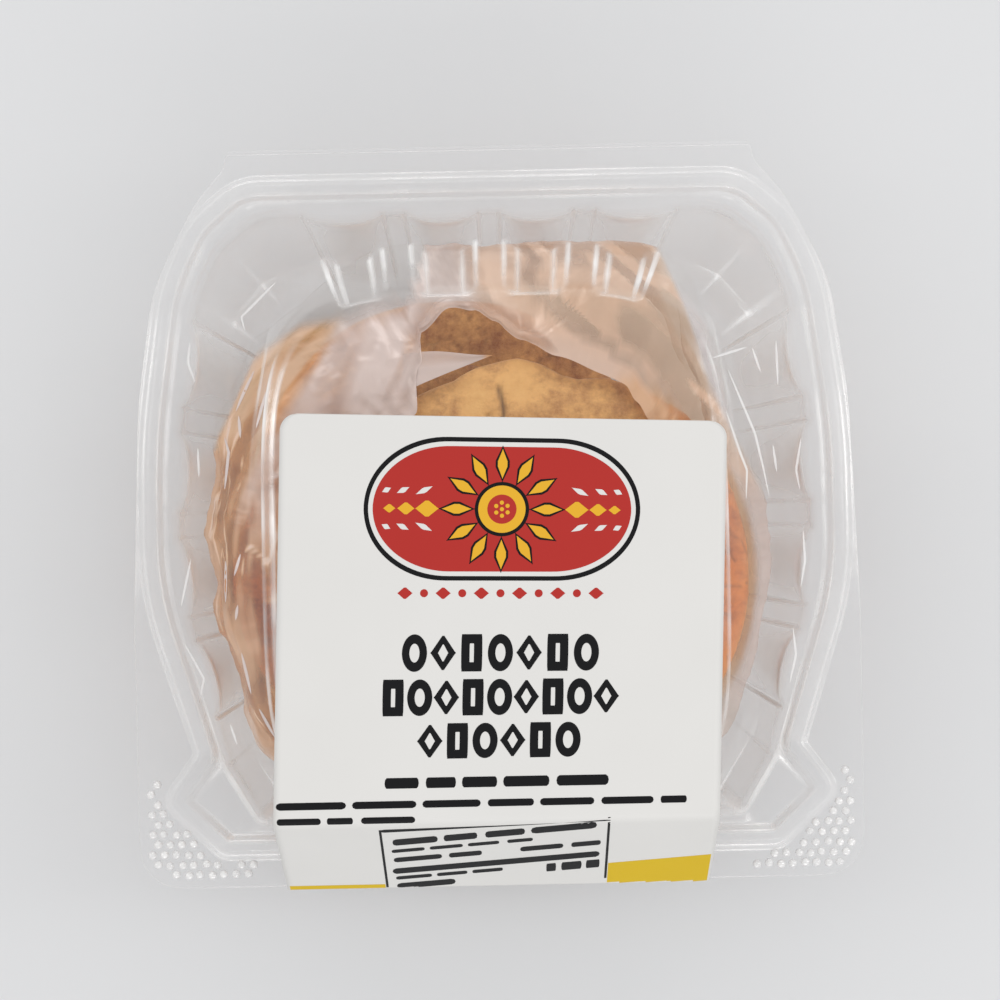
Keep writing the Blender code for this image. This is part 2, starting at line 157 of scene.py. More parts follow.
FILM_GLINTS = (
    ((-49.6, 31.9), (-52.0, 27.1), (-53.5, 23.7)),
    ((-56.0, 18.2), (-55.2, 15.2), (-56.2, 7.5)),
    ((-47.2, 27.5), (-49.4, 20.1)),
    ((-53.0, 22.7), (-52.7, 18.1)),
    ((-56.3, -7.5), (-56.5, -16)),
    ((-53.2, -6.1), (-54.6, -10.6)),
    ((-54.0, -16.7), (-54.5, -19.8)),
    ((-53.4, -26.7), (-51.6, -35.2)),
    ((-50.0, -38.4), (-46.9, -44.3)),
)

# Half outlines seen from above, front to back, as (x, y, fillet radius)
FLANGE_EDGE = (
    (76.5, -76.6, 10),
    (76.7, -20, 200),
    (75, 25, 120),
    (71.4, 50, 40),
    (62.5, 67.5, 30),
    (56, 75, 1.5),
    (55.5, 78.05, 0.8),
)
BEAD_LINE = (
    (58, -68, 3),
    (68.5, -58, 2),
    (61.6, -48.6, 3),
    (72.6, -14, 70),
    (72.4, 18, 160),
    (67.9, 50, 60),
    (61.8, 62.6, 14),
    (52.5, 70.6, 12),
)
RIM_INSIDE = (
    (51, -63.6, 4),
    (58.3, -51.4, 5),
    (68.4, -12, 80),
    (67.8, 20, 160),
    (63.8, 48, 40),
    (58.5, 59, 12),
    (49.5, 66.3, 12),
)
WALL_FOOT = ((43, -56, 8), (51, -46, 8), (58.6, -12, 80), (58, 20, 160), (55.5, 42, 30), (43, 56, 16))
FLOOR_EDGE = ((40, -52, 8), (47.5, -43, 8), (54, -12, 80), (53.6, 20, 160), (51, 40, 30), (40, 52, 16))
LID_LEDGE = (
    (42, -62.2, 6),
    (53.5, -44, 10),
    (57.8, -12, 60),
    (55, 20, 120),
    (53.6, 41.5, 3),
    (46.8, 49.3, 3),
    (33, 55.6, 30),
    (10, 58, 60),
)
LID_CREASE = (
    (41, -61, 6),
    (49.5, -42, 8),
    (51.4, -14, 60),
    (48.4, 20, 60),
    (44.6, 39.5, 6),
    (36, 48.8, 6),
    (14, 52.6, 60),
)

# Whole numbers that the noise is hashed with
HASH_STEPS = np.array((374761393, 668265263, 1274126177))
HASH_SEED = 974634777
HASH_STIR = 1103515245


def smooth(t):
    """Eases 0..1: 3t^2 - 2t^3 of t held between 0 and 1."""
    t = np.clip(t, 0.0, 1.0)
    return t * t * (3 - 2 * t)


def lattice_noise(points, scale, seed):
    """Smooth noise from -1 to 1.

    Whole-number places have hashed values, and a point eases between the eight places round it.
    """
    p = points / scale + 1000.0
    whole = np.floor(p).astype(np.int64)
    part = smooth(p - whole)
    total = np.zeros(len(points))
    for corner in range(8):
        step = np.array([corner & 1, corner >> 1 & 1, corner >> 2 & 1])
        h = (whole + step) @ HASH_STEPS + seed * HASH_SEED
        h &= 0xFFFFFFFF
        h = (h ^ (h >> 13)) * HASH_STIR & 0xFFFFFFFF
        value = ((h ^ (h >> 16)) & 0xFFFF) / 32767.5 - 1
        weight = np.where(step, part, 1 - part).prod(1)
        total += value * weight
    return total


def cloud(points, scale, octaves, seed):
    """Several layers of noise, each half the size and half the strength of the one before."""
    return sum(lattice_noise(points, scale / 2**k, seed + 17 * k) / 2**k for k in range(octaves))


def whole_loop(half):
    """A half outline with its mirror image, as corner points and radii, counter-clockwise."""
    right = np.array(half, float)
    left = right[::-1] * (-1, 1, 1)
    loop = np.concatenate([right, left])
    return loop[:, :2], loop[:, 2]


def outline(half, inset=0.0, steps=12):
    """A closed outline: each edge moved inwards by inset, each corner a quadratic arc between its edges."""
    corner, radius = whole_loop(half)
    edge = np.roll(corner, -1, 0) - corner
    edge /= np.linalg.norm(edge, axis=1)[:, None]
    inward = np.stack([-edge[:, 1], edge[:, 0]], 1)
    before = np.roll(inward, 1, 0)
    corner = corner + (inward + before) * inset / (1 + (inward * before).sum(1))[:, None]
    turn = np.roll(edge, 1, 0)
    bulges = turn[:, 0] * edge[:, 1] - turn[:, 1] * edge[:, 0] > 0
    radius = np.maximum(np.where(bulges, radius - inset, radius + inset), 0.4)
    back, ahead = np.roll(corner, 1, 0) - corner, np.roll(corner, -1, 0) - corner
    long_back, long_ahead = np.linalg.norm(back, axis=1), np.linalg.norm(ahead, axis=1)
    half_angle = np.arccos(np.clip((back * ahead).sum(1) / long_back / long_ahead, -1, 1)) / 2
    reach = np.minimum.reduce([radius / np.tan(half_angle), long_back * 0.49, long_ahead * 0.49])
    start = corner + back / long_back[:, None] * reach[:, None]
    end = corner + ahead / long_ahead[:, None] * reach[:, None]
    t = np.linspace(0, 1, steps + 1)[None, :, None]
    arcs = (1 - t) ** 2 * start[:, None] + 2 * t * (1 - t) * corner[:, None] + t * t * end[:, None]
    return arcs.reshape(-1, 2)


def plateau_outline(inset=0.0, steps=400):
    """The plateau's edge: |x/a|^n + |y/b|^n = 1 about its own middle."""
    angle = np.linspace(0, 2 * np.pi, steps, endpoint=False)
    c, s = np.cos(angle), np.sin(angle)
    x = (PLATEAU_HALF[0] - inset) * np.copysign(np.abs(c) ** (2 / PLATEAU_POWER), c)
    y = (PLATEAU_HALF[1] - inset) * np.copysign(np.abs(s) ** (2 / PLATEAU_POWER), s)
    return np.stack([x, PLATEAU_Y + y], 1)


def station_lines():
    """Lines seen from above, from a start behind the middle to a target on a square, side by side."""
    place = np.linspace(-1, 1, STATIONS_PER_SIDE + 1)[1:]
    spread = 1 - smooth((np.abs(place) - 0.35) / 0.45)
    starts, targets = [], []
    for out, along in (((0, -1), (1, 0)), ((1, 0), (0, 1)), ((0, 1), (-1, 0)), ((-1, 0), (0, -1))):
        out, along = np.array(out, float), np.array(along, float)
        targets.append((out + along * place[:, None]) * STATION_HALF)
        starts.append(-out * STATION_FAN * spread[:, None])
    return np.concatenate(starts), np.concatenate(targets)


STARTS, TARGETS = station_lines()


def crossing(edge, starts=STARTS, targets=TARGETS):
    """The farthest point where each station's line meets a closed outline."""
    way = (targets - starts)[:, None]
    step = (np.roll(edge, -1, 0) - edge)[None]
    cross = way[..., 0] * step[..., 1] - way[..., 1] * step[..., 0]
    cross = np.where(np.abs(cross) < 1e-9, 1e-9, cross)
    gap = edge[None] - starts[:, None]
    far = (gap[..., 0] * step[..., 1] - gap[..., 1] * step[..., 0]) / cross
    share = (gap[..., 0] * way[..., 1] - gap[..., 1] * way[..., 0]) / cross
    best = np.where((share >= -1e-6) & (share <= 1 + 1e-6), far, -1e9).max(1)
    return starts + (targets - starts) * best[:, None]


def humps(value, middles, halves):
    """1 on the face of each lobe, 0 between lobes, straight flanks with their two corners just rounded."""
    near = np.abs(value[:, None] - np.array(middles)).min(1)
    t = (halves[0] - near) / (halves[0] - halves[1])
    return (np.sqrt(t * t + 0.006) - np.sqrt((t - 1) ** 2 + 0.006) + 1) / 2


def pillows(value, middles, half):
    """1 on the middle of each lobe, rounded down to 0 between lobes: (cos a)^0.7."""
    near = np.abs(value[:, None] - np.array(middles)).min(1)
    return np.cos(np.clip(near / half, 0, 1) * np.pi / 2) ** 0.7


def wall_lobes():
    """Lobes all round the tray's wall."""
    on_side = np.abs(TARGETS[:, 0]) > np.abs(TARGETS[:, 1])
    along_sides = pillows(TARGETS[:, 1], SIDE_LOBES, SIDE_LOBE_HALF)
    along_ends = pillows(TARGETS[:, 0], END_LOBES, END_LOBE_HALF)
    return np.where(on_side, along_sides, along_ends)


def back_ribs():
    """Ribs in the lid's back wall alone."""
    behind = TARGETS[:, 1] > np.abs(TARGETS[:, 0])
    return np.where(behind, humps(TARGETS[:, 0], END_LOBES, RIB_HALF), 0.0)


def ring(edge, z, relief=None):
    """An outline's points on every station at height z, moved inwards by relief."""
    p = crossing(edge)
    if relief is not None:
        along = np.roll(p, -1, 0) - np.roll(p, 1, 0)
        inward = np.stack([-along[:, 1], along[:, 0]], 1)
        p = p + inward / np.linalg.norm(inward, axis=1)[:, None] * relief[:, None]
    return np.column_stack([p, np.full(len(p), float(z))])


def towards(points, middle, share):
    """A ring drawn in towards a middle point, down to a share of its size."""
    return np.array(middle) + (points - np.array(middle)) * share


def rounded_profile(keys, steps=BEND_ROWS):
    """Rows between key rings (points, reach): straight from ring to ring, each bend a quadratic arc."""
    rows = [keys[0][0]]
    for (before, _), (here, reach), (after, _) in zip(keys, keys[1:], keys[2:]):
        back, ahead = before - here, after - here
        long_back, long_ahead = np.linalg.norm(back, axis=1), np.linalg.norm(ahead, axis=1)
        cut = np.minimum.reduce([np.full(len(here), reach), long_back * 0.45, long_ahead * 0.45])
        start = here + back * (cut / np.maximum(long_back, 1e-9))[:, None]
        end = here + ahead * (cut / np.maximum(long_ahead, 1e-9))[:, None]
        for t in np.linspace(0, 1, steps):
            rows.append((1 - t) ** 2 * start + 2 * t * (1 - t) * here + t * t * end)
    rows.append(keys[-1][0])
    return np.stack(rows)


def loft_normals(rows):
    """A loft's unit normals, with the steps along it and across it that they come from."""
    across = np.roll(rows, -1, 1) - np.roll(rows, 1, 1)
    along = np.gradient(rows, axis=0)
    normal = np.cross(along, across)
    normal /= np.maximum(np.linalg.norm(normal, axis=2), 1e-9)[..., None]
    return normal, along, across


def bends(rows):
    """How sharply a loft bends at each point, 0 to 1.

    It is the turn of the normal along and across, per millimetre, and less at the plateau's back edge.
    """
    normal, along, across = loft_normals(rows)
    turn_across = np.linalg.norm(np.roll(normal, -1, 1) - np.roll(normal, 1, 1), axis=2)
    turn_across /= np.maximum(np.linalg.norm(across, axis=2), 0.3)
    turn_along = np.linalg.norm(np.gradient(normal, axis=0), axis=2)
    turn_along /= np.maximum(np.linalg.norm(along, axis=2), 0.15)
    back = smooth((rows[..., 1] - 32) / 8) * smooth((46 - np.abs(rows[..., 0])) / 6)
    turn_along *= 1 - 0.55 * back
    return smooth((np.hypot(turn_across, turn_along) - 0.07) / 0.38)


def grid_faces(rows, columns, wrap):
    """Four-sided faces of a grid of points, row by row; wrap joins the last column to the first."""
    r = np.arange(rows - 1)[:, None] * columns
    c = np.arange(columns if wrap else columns - 1)[None]
    n = (c + 1) % columns
    return np.stack([r + c, r + n, r + columns + n, r + columns + c], -1).reshape(-1, 4)


def plain_faces(faces):
    """Faces as lists of plain whole numbers."""
    return [list(map(int, face)) for face in faces]


def add_piece(name, points, faces, finish, body, attributes=None, thick=0.0):
    """One finished piece from points in millimetres, riding on its body; thick makes a sheet solid."""
    mesh = bpy.data.meshes.new(name)
    places = (np.asarray(points) + (0, CENTRE_Y, 0)) * MM
    mesh.from_pydata(places.tolist(), [], plain_faces(faces))
    for key, values in (attributes or {}).items():
        made = mesh.attributes.new(key, "FLOAT", "POINT")
        made.data.foreach_set("value", np.asarray(values, np.float32))
    mesh.materials.append(finish)
    mesh.shade_smooth()
    piece = bpy.data.objects.new(name, mesh)
    bpy.context.scene.collection.objects.link(piece)
    if thick:
        wall = piece.modifiers.new("wall", "SOLIDIFY")
        wall.thickness = thick * MM
        wall.offset = -1.0
    if body:
        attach(piece, body)
    return piece


def bend_highlights(rows):
    """Painted highlights along a loft's bends as one value a point, uneven by noise and place, and none at
    its closing point.
    """
    flat = rows.reshape(-1, 3)
    x, y, z = flat.T
    uneven = 0.55 + 0.45 * lattice_noise(flat, 9.0, 31) + 0.25 * lattice_noise(flat, 3.0, 32)
    rim = z < 45
    uneven *= 1 - 0.6 * smooth((y - 50) / 12) * rim
    uneven *= 1 - (0.6 + 0.1 * (x < 0)) * smooth((np.abs(x) - 58) / 6) * rim
    uneven *= 1 - 0.4 * smooth((-45 - y) / 8) * rim
    uneven *= 1 - 0.65 * smooth((y - 28) / 8) * (z > 63)
    return np.append(bends(rows).ravel() * np.clip(uneven, 0.08, 1.0), 0.0)


def glint_ribbons(name, glint_lines, half, points, faces, finish, body, values):
    """Painted glints: thin ribbons just above a clear surface along creases, as wide as the root of a sine
    from end to end.

    Each pair of edge points is where two lines of sight from the eye meet the surface.
    """
    surface = BVHTree.FromPolygons(np.asarray(points).tolist(), plain_faces(faces))
    eye = Vector(EYE)
    ends, quads = [], []
    for crease in glint_lines:
        crease = np.array(crease, float)
        along = path_length(crease)
        steps = np.linspace(0, along[-1], max(6, int(along[-1] / 0.7)))
        path = np.stack([np.interp(steps, along, crease[:, 0]), np.interp(steps, along, crease[:, 1])], 1)
        way = np.gradient(path, axis=0)
        side = np.stack([-way[:, 1], way[:, 0]], 1) / np.linalg.norm(way, axis=1)[:, None]
        width = half * np.sqrt(np.clip(np.sin(np.pi * steps / along[-1]), 0.02, 1))
        row = []
        for middle, out, w in zip(path, side, width):
            aims = [Vector((*(middle + out * w * sign), GLINT_LEVEL)) - eye for sign in (-1, 1)]
            pair = [surface.ray_cast(eye, aim)[0] for aim in aims]
            if pair[0] is None or pair[1] is None or (pair[0] - pair[1]).length > 4 * half + 2:
                row = []
                continue
            row.append(len(ends))
            ends += [at + (eye - at).normalized() * GLINT_LIFT for at in pair]
            if len(row) > 1:
                quads.append((row[-2], row[-2] + 1, row[-1] + 1, row[-1]))
    own = {key: np.full(len(ends), value) for key, value in values.items()}
    return add_piece(name, np.array([tuple(end) for end in ends]), quads, finish, body, own)


def close_middle(rows, middle):
    """A loft's points and faces, closed at its last ring by a fan to one point."""
    count = rows.shape[1]
    faces = grid_faces(len(rows), count, True).tolist()
    first, last = (len(rows) - 1) * count, len(rows) * count
    faces += [[first + i, first + (i + 1) % count, last] for i in range(count)]
    return np.concatenate([rows.reshape(-1, 3), [middle]]), faces


# Materials


def new_material(name):
    """An empty node material with its output."""
    made = bpy.data.materials.new(name)
    made.use_nodes = True
    made.node_tree.nodes.clear()
    output = made.node_tree.nodes.new("ShaderNodeOutputMaterial")
    return made, made.node_tree, output


def feed(tree, socket, value):
    """Links a socket to another one, or sets its plain value."""
    if hasattr(value, "is_output"):
        tree.links.new(value, socket)
    else:
        socket.default_value = value


def put(tree, kind, **values):
    """A node with its settings; a value whose name is a socket's goes to that socket."""
    node = tree.nodes.new(kind)
    for key, value in values.items():
        socket = node.inputs.get(key.replace("_", " "))
        if socket is None:
            setattr(node, key, value)
        else:
            feed(tree, socket, value)
    return node


def math_node(tree, operation, a, b, c=None, clamp=False):
    """One sum on two or three values or sockets."""
    node = tree.nodes.new("ShaderNodeMath")
    node.operation = operation
    node.use_clamp = clamp
    for socket, value in zip(node.inputs, (a, b) if c is None else (a, b, c)):
        feed(tree, socket, value)
    return node.outputs[0]


def attribute(tree, name):
    """A value stored on the mesh's points."""
    return put(tree, "ShaderNodeAttribute", attribute_name=name).outputs["Fac"]


def mix_colour(tree, factor, a, b):
    """Two colours mixed by a factor."""
    node = tree.nodes.new("ShaderNodeMix")
    node.data_type = "RGBA"
    for socket, value in ((node.inputs[0], factor), (node.inputs[6], a), (node.inputs[7], b)):
        feed(tree, socket, value)
    return node.outputs[2]


def see_through(name, tint, body_colour, roughness, metallic, haze, gloss, mask, bump, stain=None):
    """A thin clear sheet: light goes straight through it, apart from a share that the sheen sends back.

    The share grows with haze, with the mask (attribute, strength), which carries painted highlights, and in a
    grazing view. The bump is (scale, strength, distance). A stain (attribute, tint, body colour) recolours
    both where it is high.
    """
    made, tree, output = new_material(name)
    facing = put(tree, "ShaderNodeLayerWeight", Blend=0.5)
    grazing = math_node(tree, "POWER", facing.outputs["Facing"], 2.0)
    # Even haze plus the mask's share, where highlights are painted on
    cloudy = math_node(tree, "MULTIPLY_ADD", attribute(tree, mask[0]), mask[1], haze)
    share = math_node(tree, "ADD", cloudy, math_node(tree, "MULTIPLY", grazing, gloss), clamp=True)
    clear = put(tree, "ShaderNodeBsdfTransparent", Color=(*tint, 1))
    sheen = put(
        tree,
        "ShaderNodeBsdfPrincipled",
        Base_Color=(*body_colour, 1),
        Roughness=roughness,
        Metallic=metallic,
    )
    scale, strength, distance = bump
    place = put(tree, "ShaderNodeTexCoord").outputs["Object"]
    grain = put(tree, "ShaderNodeTexNoise", Vector=place, Scale=scale, Detail=3.0)
    raised = put(tree, "ShaderNodeBump", Strength=strength, Distance=distance, Height=grain.outputs["Fac"])
    for node in (sheen, facing):
        tree.links.new(raised.outputs[0], node.inputs["Normal"])
    if stain:
        key, stain_tint, stain_body = stain
        place = attribute(tree, key)
        tree.links.new(mix_colour(tree, place, (*tint, 1), (*stain_tint, 1)), clear.inputs["Color"])
        stained = mix_colour(tree, place, (*body_colour, 1), (*stain_body, 1))
        tree.links.new(stained, sheen.inputs["Base Color"])
    mixed = put(tree, "ShaderNodeMixShader")
    tree.links.new(share, mixed.inputs[0])
    tree.links.new(clear.outputs[0], mixed.inputs[1])
    tree.links.new(sheen.outputs[0], mixed.inputs[2])
    tree.links.new(mixed.outputs[0], output.inputs[0])
    return made


def crust_group():
    """Baked coconut dough: pale crumb to browned tips by the bake and shade value, freckled, painted shade in
    cracks.
    """
    found = bpy.data.node_groups.get("baked_crust")
    if found:
        return found
    group = bpy.data.node_groups.new("baked_crust", "ShaderNodeTree")
    sockets = (
        ("INPUT", "Color", ("Crumb", "Golden", "Brown")),
        ("INPUT", "Float", ("Bake", "Crack")),
        ("OUTPUT", "Color", ("Color",)),
        ("OUTPUT", "Float", ("Roughness", "Height")),
    )
    for side, kind, names in sockets:
        for name in names:
            group.interface.new_socket(name, in_out=side, socket_type="NodeSocket" + kind)
    given = group.nodes.new("NodeGroupInput")
    result = group.nodes.new("NodeGroupOutput")
    place = put(group, "ShaderNodeTexCoord").outputs["Object"]
    patches = put(group, "ShaderNodeTexNoise", Vector=place, Scale=90.0, Detail=5.0, Roughness=0.6)
    freckles = put(group, "ShaderNodeTexNoise", Vector=place, Scale=520.0, Detail=4.0, Roughness=0.7)
    freckles = freckles.outputs["Fac"]
    lifted = math_node(group, "MULTIPLY_ADD", patches.outputs["Fac"], 0.9, -0.45)
    speck = math_node(group, "MULTIPLY_ADD", freckles, 0.7, -0.35)
    uneven = math_node(group, "ADD", given.outputs["Bake"], lifted)
    baked_and_shaded = math_node(group, "ADD", uneven, speck, clamp=True)
    low = math_node(group, "MULTIPLY", baked_and_shaded, 2.0, clamp=True)
    high = math_node(group, "MULTIPLY_ADD", baked_and_shaded, 2.0, -1.0, clamp=True)
    pale = mix_colour(group, low, given.outputs["Crumb"], given.outputs["Golden"])
    toasted = mix_colour(group, high, pale, given.outputs["Brown"])
    # Painted shade: the cracks darkened to near black
    dark = math_node(group, "MULTIPLY", given.outputs["Crack"], 0.75, clamp=True)
    shaded = mix_colour(group, dark, toasted, (0.09, 0.045, 0.02, 1))
    rough = math_node(group, "MULTIPLY_ADD", freckles, 0.25, 0.55)
    group.links.new(shaded, result.inputs["Color"])
    group.links.new(rough, result.inputs["Roughness"])
    group.links.new(freckles, result.inputs["Height"])
    return group


def crust_material(name, crumb, golden, brown):
    """A macaroon's finish."""
    made, tree, output = new_material(name)
    crust = tree.nodes.new("ShaderNodeGroup")
    crust.node_tree = crust_group()
    for key, colour in (("Crumb", crumb), ("Golden", golden), ("Brown", brown)):
        crust.inputs[key].default_value = (*colour, 1)
    tree.links.new(attribute(tree, "bake"), crust.inputs["Bake"])
    tree.links.new(attribute(tree, "crack"), crust.inputs["Crack"])
    raised = put(tree, "ShaderNodeBump", Strength=0.5, Distance=0.0004, Height=crust.outputs["Height"])
    shader = put(
        tree,
        "ShaderNodeBsdfPrincipled",
        Base_Color=crust.outputs["Color"],
        Roughness=crust.outputs["Roughness"],
        Normal=raised.outputs[0],
        Sheen_Weight=0.1,
    )
    tree.links.new(shader.outputs[0], output.inputs[0])
    return made


def paper_material(name, colour, roughness, shine=0.5):
    """Printed paper or ink: one colour, faintly uneven, with a fine fibre bump."""
    made, tree, output = new_material(name)
    place = put(tree, "ShaderNodeTexCoord").outputs["Object"]
    fibre = put(tree, "ShaderNodeTexNoise", Vector=place, Scale=1400.0, Detail=4.0).outputs["Fac"]
    cloudy = put(tree, "ShaderNodeTexNoise", Vector=place, Scale=45.0, Detail=2.0).outputs["Fac"]
    shade = tuple(c * 0.95 for c in colour)
    tone = mix_colour(tree, cloudy, (*colour, 1), (*shade, 1))
    raised = put(tree, "ShaderNodeBump", Strength=0.12, Distance=0.00005, Height=fibre)
    shader = put(
        tree,
        "ShaderNodeBsdfPrincipled",
        Base_Color=tone,
        Roughness=roughness,
        Normal=raised.outputs[0],
        Specular_IOR_Level=shine,
    )
    tree.links.new(shader.outputs[0], output.inputs[0])
    return made


# Sizes and colours that a user would change


class PackLooks(bpy.types.PropertyGroup):
    """Sizes and colours of the pack."""

    wall: bpy.props.FloatProperty(
        name="Wall",
        description="Thickness of the formed plastic, seen as the turned-down edge of tray and lid",
        default=WALL * MM,
        min=0.0002,
        max=0.001,
        unit="LENGTH",
    )
    label_width: bpy.props.FloatProperty(
        name="Label width",
        description="Width of the paper label",
        default=0.0889,
        min=0.04,
        max=0.12,
        unit="LENGTH",
    )
    paper: bpy.props.FloatVectorProperty(
        name="Paper",
        description="Colour of the label's paper",
        default=(0.72, 0.71, 0.685),
        subtype="COLOR",
        size=3,
        min=0,
        max=1,
    )
    crumb: bpy.props.FloatVectorProperty(
        name="Crumb",
        description="Palest colour of the macaroons",
        default=(0.95, 0.58, 0.21),
        subtype="COLOR",
        size=3,
        min=0,
        max=1,
    )
    golden: bpy.props.FloatVectorProperty(
        name="Golden",
        description="Main colour of the macaroons",
        default=(0.82, 0.45, 0.155),
        subtype="COLOR",
        size=3,
        min=0,
        max=1,
    )
    brown: bpy.props.FloatVectorProperty(
        name="Brown",
        description="Browned edges of the macaroons",
        default=(0.33, 0.125, 0.04),
        subtype="COLOR",
        size=3,
        min=0,
        max=1,
    )
    film: bpy.props.FloatVectorProperty(
        name="Film",
        description="Colour of the wrap where it lies in folds",
        default=(0.69, 0.605, 0.59),
        subtype="COLOR",
        size=3,
        min=0,
        max=1,
    )


def looks():
    """The scene's own sizes and colours."""
    return bpy.context.scene.macaroon_pack


def plastic():
    """The pack's clear sheet, made once."""
    found = bpy.data.materials.get("clear_sheet")
    if found:
        return found
    tint, body = (0.994, 0.994, 0.995), (0.97, 0.96, 0.945)
    roughness, metallic, haze, gloss = 0.14, 0.2, 0.03, 0.4
    # The bend mask paints highlights: more of the white sheen where the sheet bends
    mask, bump = ("bend", 1.15), (55.0, 0.2, 0.0006)
    return see_through("clear_sheet", tint, body, roughness, metallic, haze, gloss, mask, bump)


class BuildTray(bpy.types.Operator):
    """Builds the clear tray: rim, locking bead, lobed walls and flat floor."""

    bl_idname = "macaroon_pack.tray"
    bl_label = "Tray"

    def execute(self, context):
        foot, crest, rise = TRAY_BEAD
        lobes = wall_lobes()
        keys = [
            (ring(outline(FLANGE_EDGE, 0.02), FLANGE_Z - looks().wall / MM), 0),
            (ring(outline(FLANGE_EDGE, 0.02), FLANGE_Z), 0.15),
            (ring(outline(BEAD_LINE, -foot), FLANGE_Z), 0.5),
            (ring(outline(BEAD_LINE, -crest), FLANGE_Z + rise), 0.6),
            (ring(outline(BEAD_LINE, crest), FLANGE_Z + rise), 0.6),
            (ring(outline(BEAD_LINE, foot), FLANGE_Z - 0.2), 0.5),
            (ring(outline(RIM_INSIDE), FLANGE_Z - 2.5), 1.0),
            (ring(outline(RIM_INSIDE, 0.9), FLANGE_Z - 5.5, lobes * 2.0), 0.7),
            (ring(outline(WALL_FOOT), 8.0, lobes * 1.6), 2.5),
            (ring(outline(FLOOR_EDGE), 1.2), 2.5),
            (ring(outline(FLOOR_EDGE, 3.0), 0.0), 1.5),
            (towards(ring(outline(FLOOR_EDGE, 3.0), 0.0), (0, 0, 0), 0.6), 0),
        ]
        rows = rounded_profile(keys)
        wall_top = BEND_ROWS * 7
        above, below = rows[wall_top], rows[wall_top + 1]
        between = np.array([0.1, 0.35, 0.7])[:, None, None]
        rows = np.concatenate([rows[: wall_top + 1], above + (below - above) * between, rows[wall_top + 1 :]])
        points, faces = close_middle(rows, (0.0, 0.0, 0.0))
        # Painted light on the tray: highlights along its bends, fainter under the lid's rim, and the upper
        # wall whitened as if lit, most on the lobes' faces, lifting its shade
        painted_wall_light = np.zeros(len(rows))
        painted_wall_light[wall_top - 3 : wall_top + 7] = (0.3, 0.55, 0.7, 0.65, 0.45, 0.38, 0.32, 0.28, 0.22, 0.12)
        uneven = 0.75 + 0.35 * lattice_noise(rows.reshape(-1, 3), 7.0, 35)
        painted_wall_light = np.append((painted_wall_light[:, None] * (0.35 + 0.65 * lobes[None] ** 1.5)).ravel() * uneven, 0.0)
        under_lid = np.where(np.arange(len(rows)) < wall_top - 4, 0.4, 0.8)
        under_lid = np.append(np.repeat(under_lid, len(lobes)), 0.8)
        bend = {"bend": np.clip(bend_highlights(rows) * under_lid + painted_wall_light, 0, 1)}
        made = add_piece("clear_tray", points, faces, plastic(), "tray", bend)
        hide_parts("tray")
        return {"FINISHED"}


class BuildLid(bpy.types.Operator):
    """Builds the clear lid: rim, bead, two sloping tiers, ribs behind and the raised plateau."""

    bl_idname = "macaroon_pack.lid"
    bl_label = "Lid"

    def execute(self, context):
        foot, crest, rise = LID_BEAD
        ribs = back_ribs()
        base = LID_FLANGE_Z
        keys = [
            (ring(outline(FLANGE_EDGE, 0.02), base - looks().wall / MM), 0),
            (ring(outline(FLANGE_EDGE, 0.02), base), 0.15),
            (ring(outline(BEAD_LINE, -foot), base), 0.5),
            (ring(outline(BEAD_LINE, -crest), base + rise), 0.6),
            (ring(outline(BEAD_LINE, crest), base + rise), 0.6),
            (ring(outline(BEAD_LINE, foot), base + 0.3), 0.6),
            (ring(outline(RIM_INSIDE, 0.6), base + 1.8), 1.2),
            (ring(outline(LID_LEDGE), base + 11.8, ribs * 0.3), 0.8),
            (ring(outline(LID_LEDGE, 0.9), base + 12.9, ribs * 1.9), 0.8),
            (ring(outline(LID_CREASE), base + 19.3, ribs * 1.9), 1.0),
            (ring(plateau_outline(-1.2), PLATEAU_Z - 1.2, ribs * 1.6), 0.8),
            (ring(plateau_outline(0.8), PLATEAU_Z), 0.9),
            (towards(ring(plateau_outline(0.8), PLATEAU_Z), (0, PLATEAU_Y, PLATEAU_Z), 0.6), 0),
        ]
        rows = rounded_profile(keys)
        points, faces = close_middle(rows, (0.0, PLATEAU_Y, PLATEAU_Z))
        # Painted highlights along the lid's bends
        bend = {"bend": bend_highlights(rows)}
        made = add_piece("clear_lid", points, faces, plastic(), "lid", bend)
        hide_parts("lid")
        # Painted glints on the lid: ribbons with half the bend mask's strength
        half, bend = 0.24, {"bend": 0.5}
        finish = plastic()
        glint_ribbons("lid_creases", LID_GLINTS, half, points, faces, finish, "lid", bend)
        return {"FINISHED"}


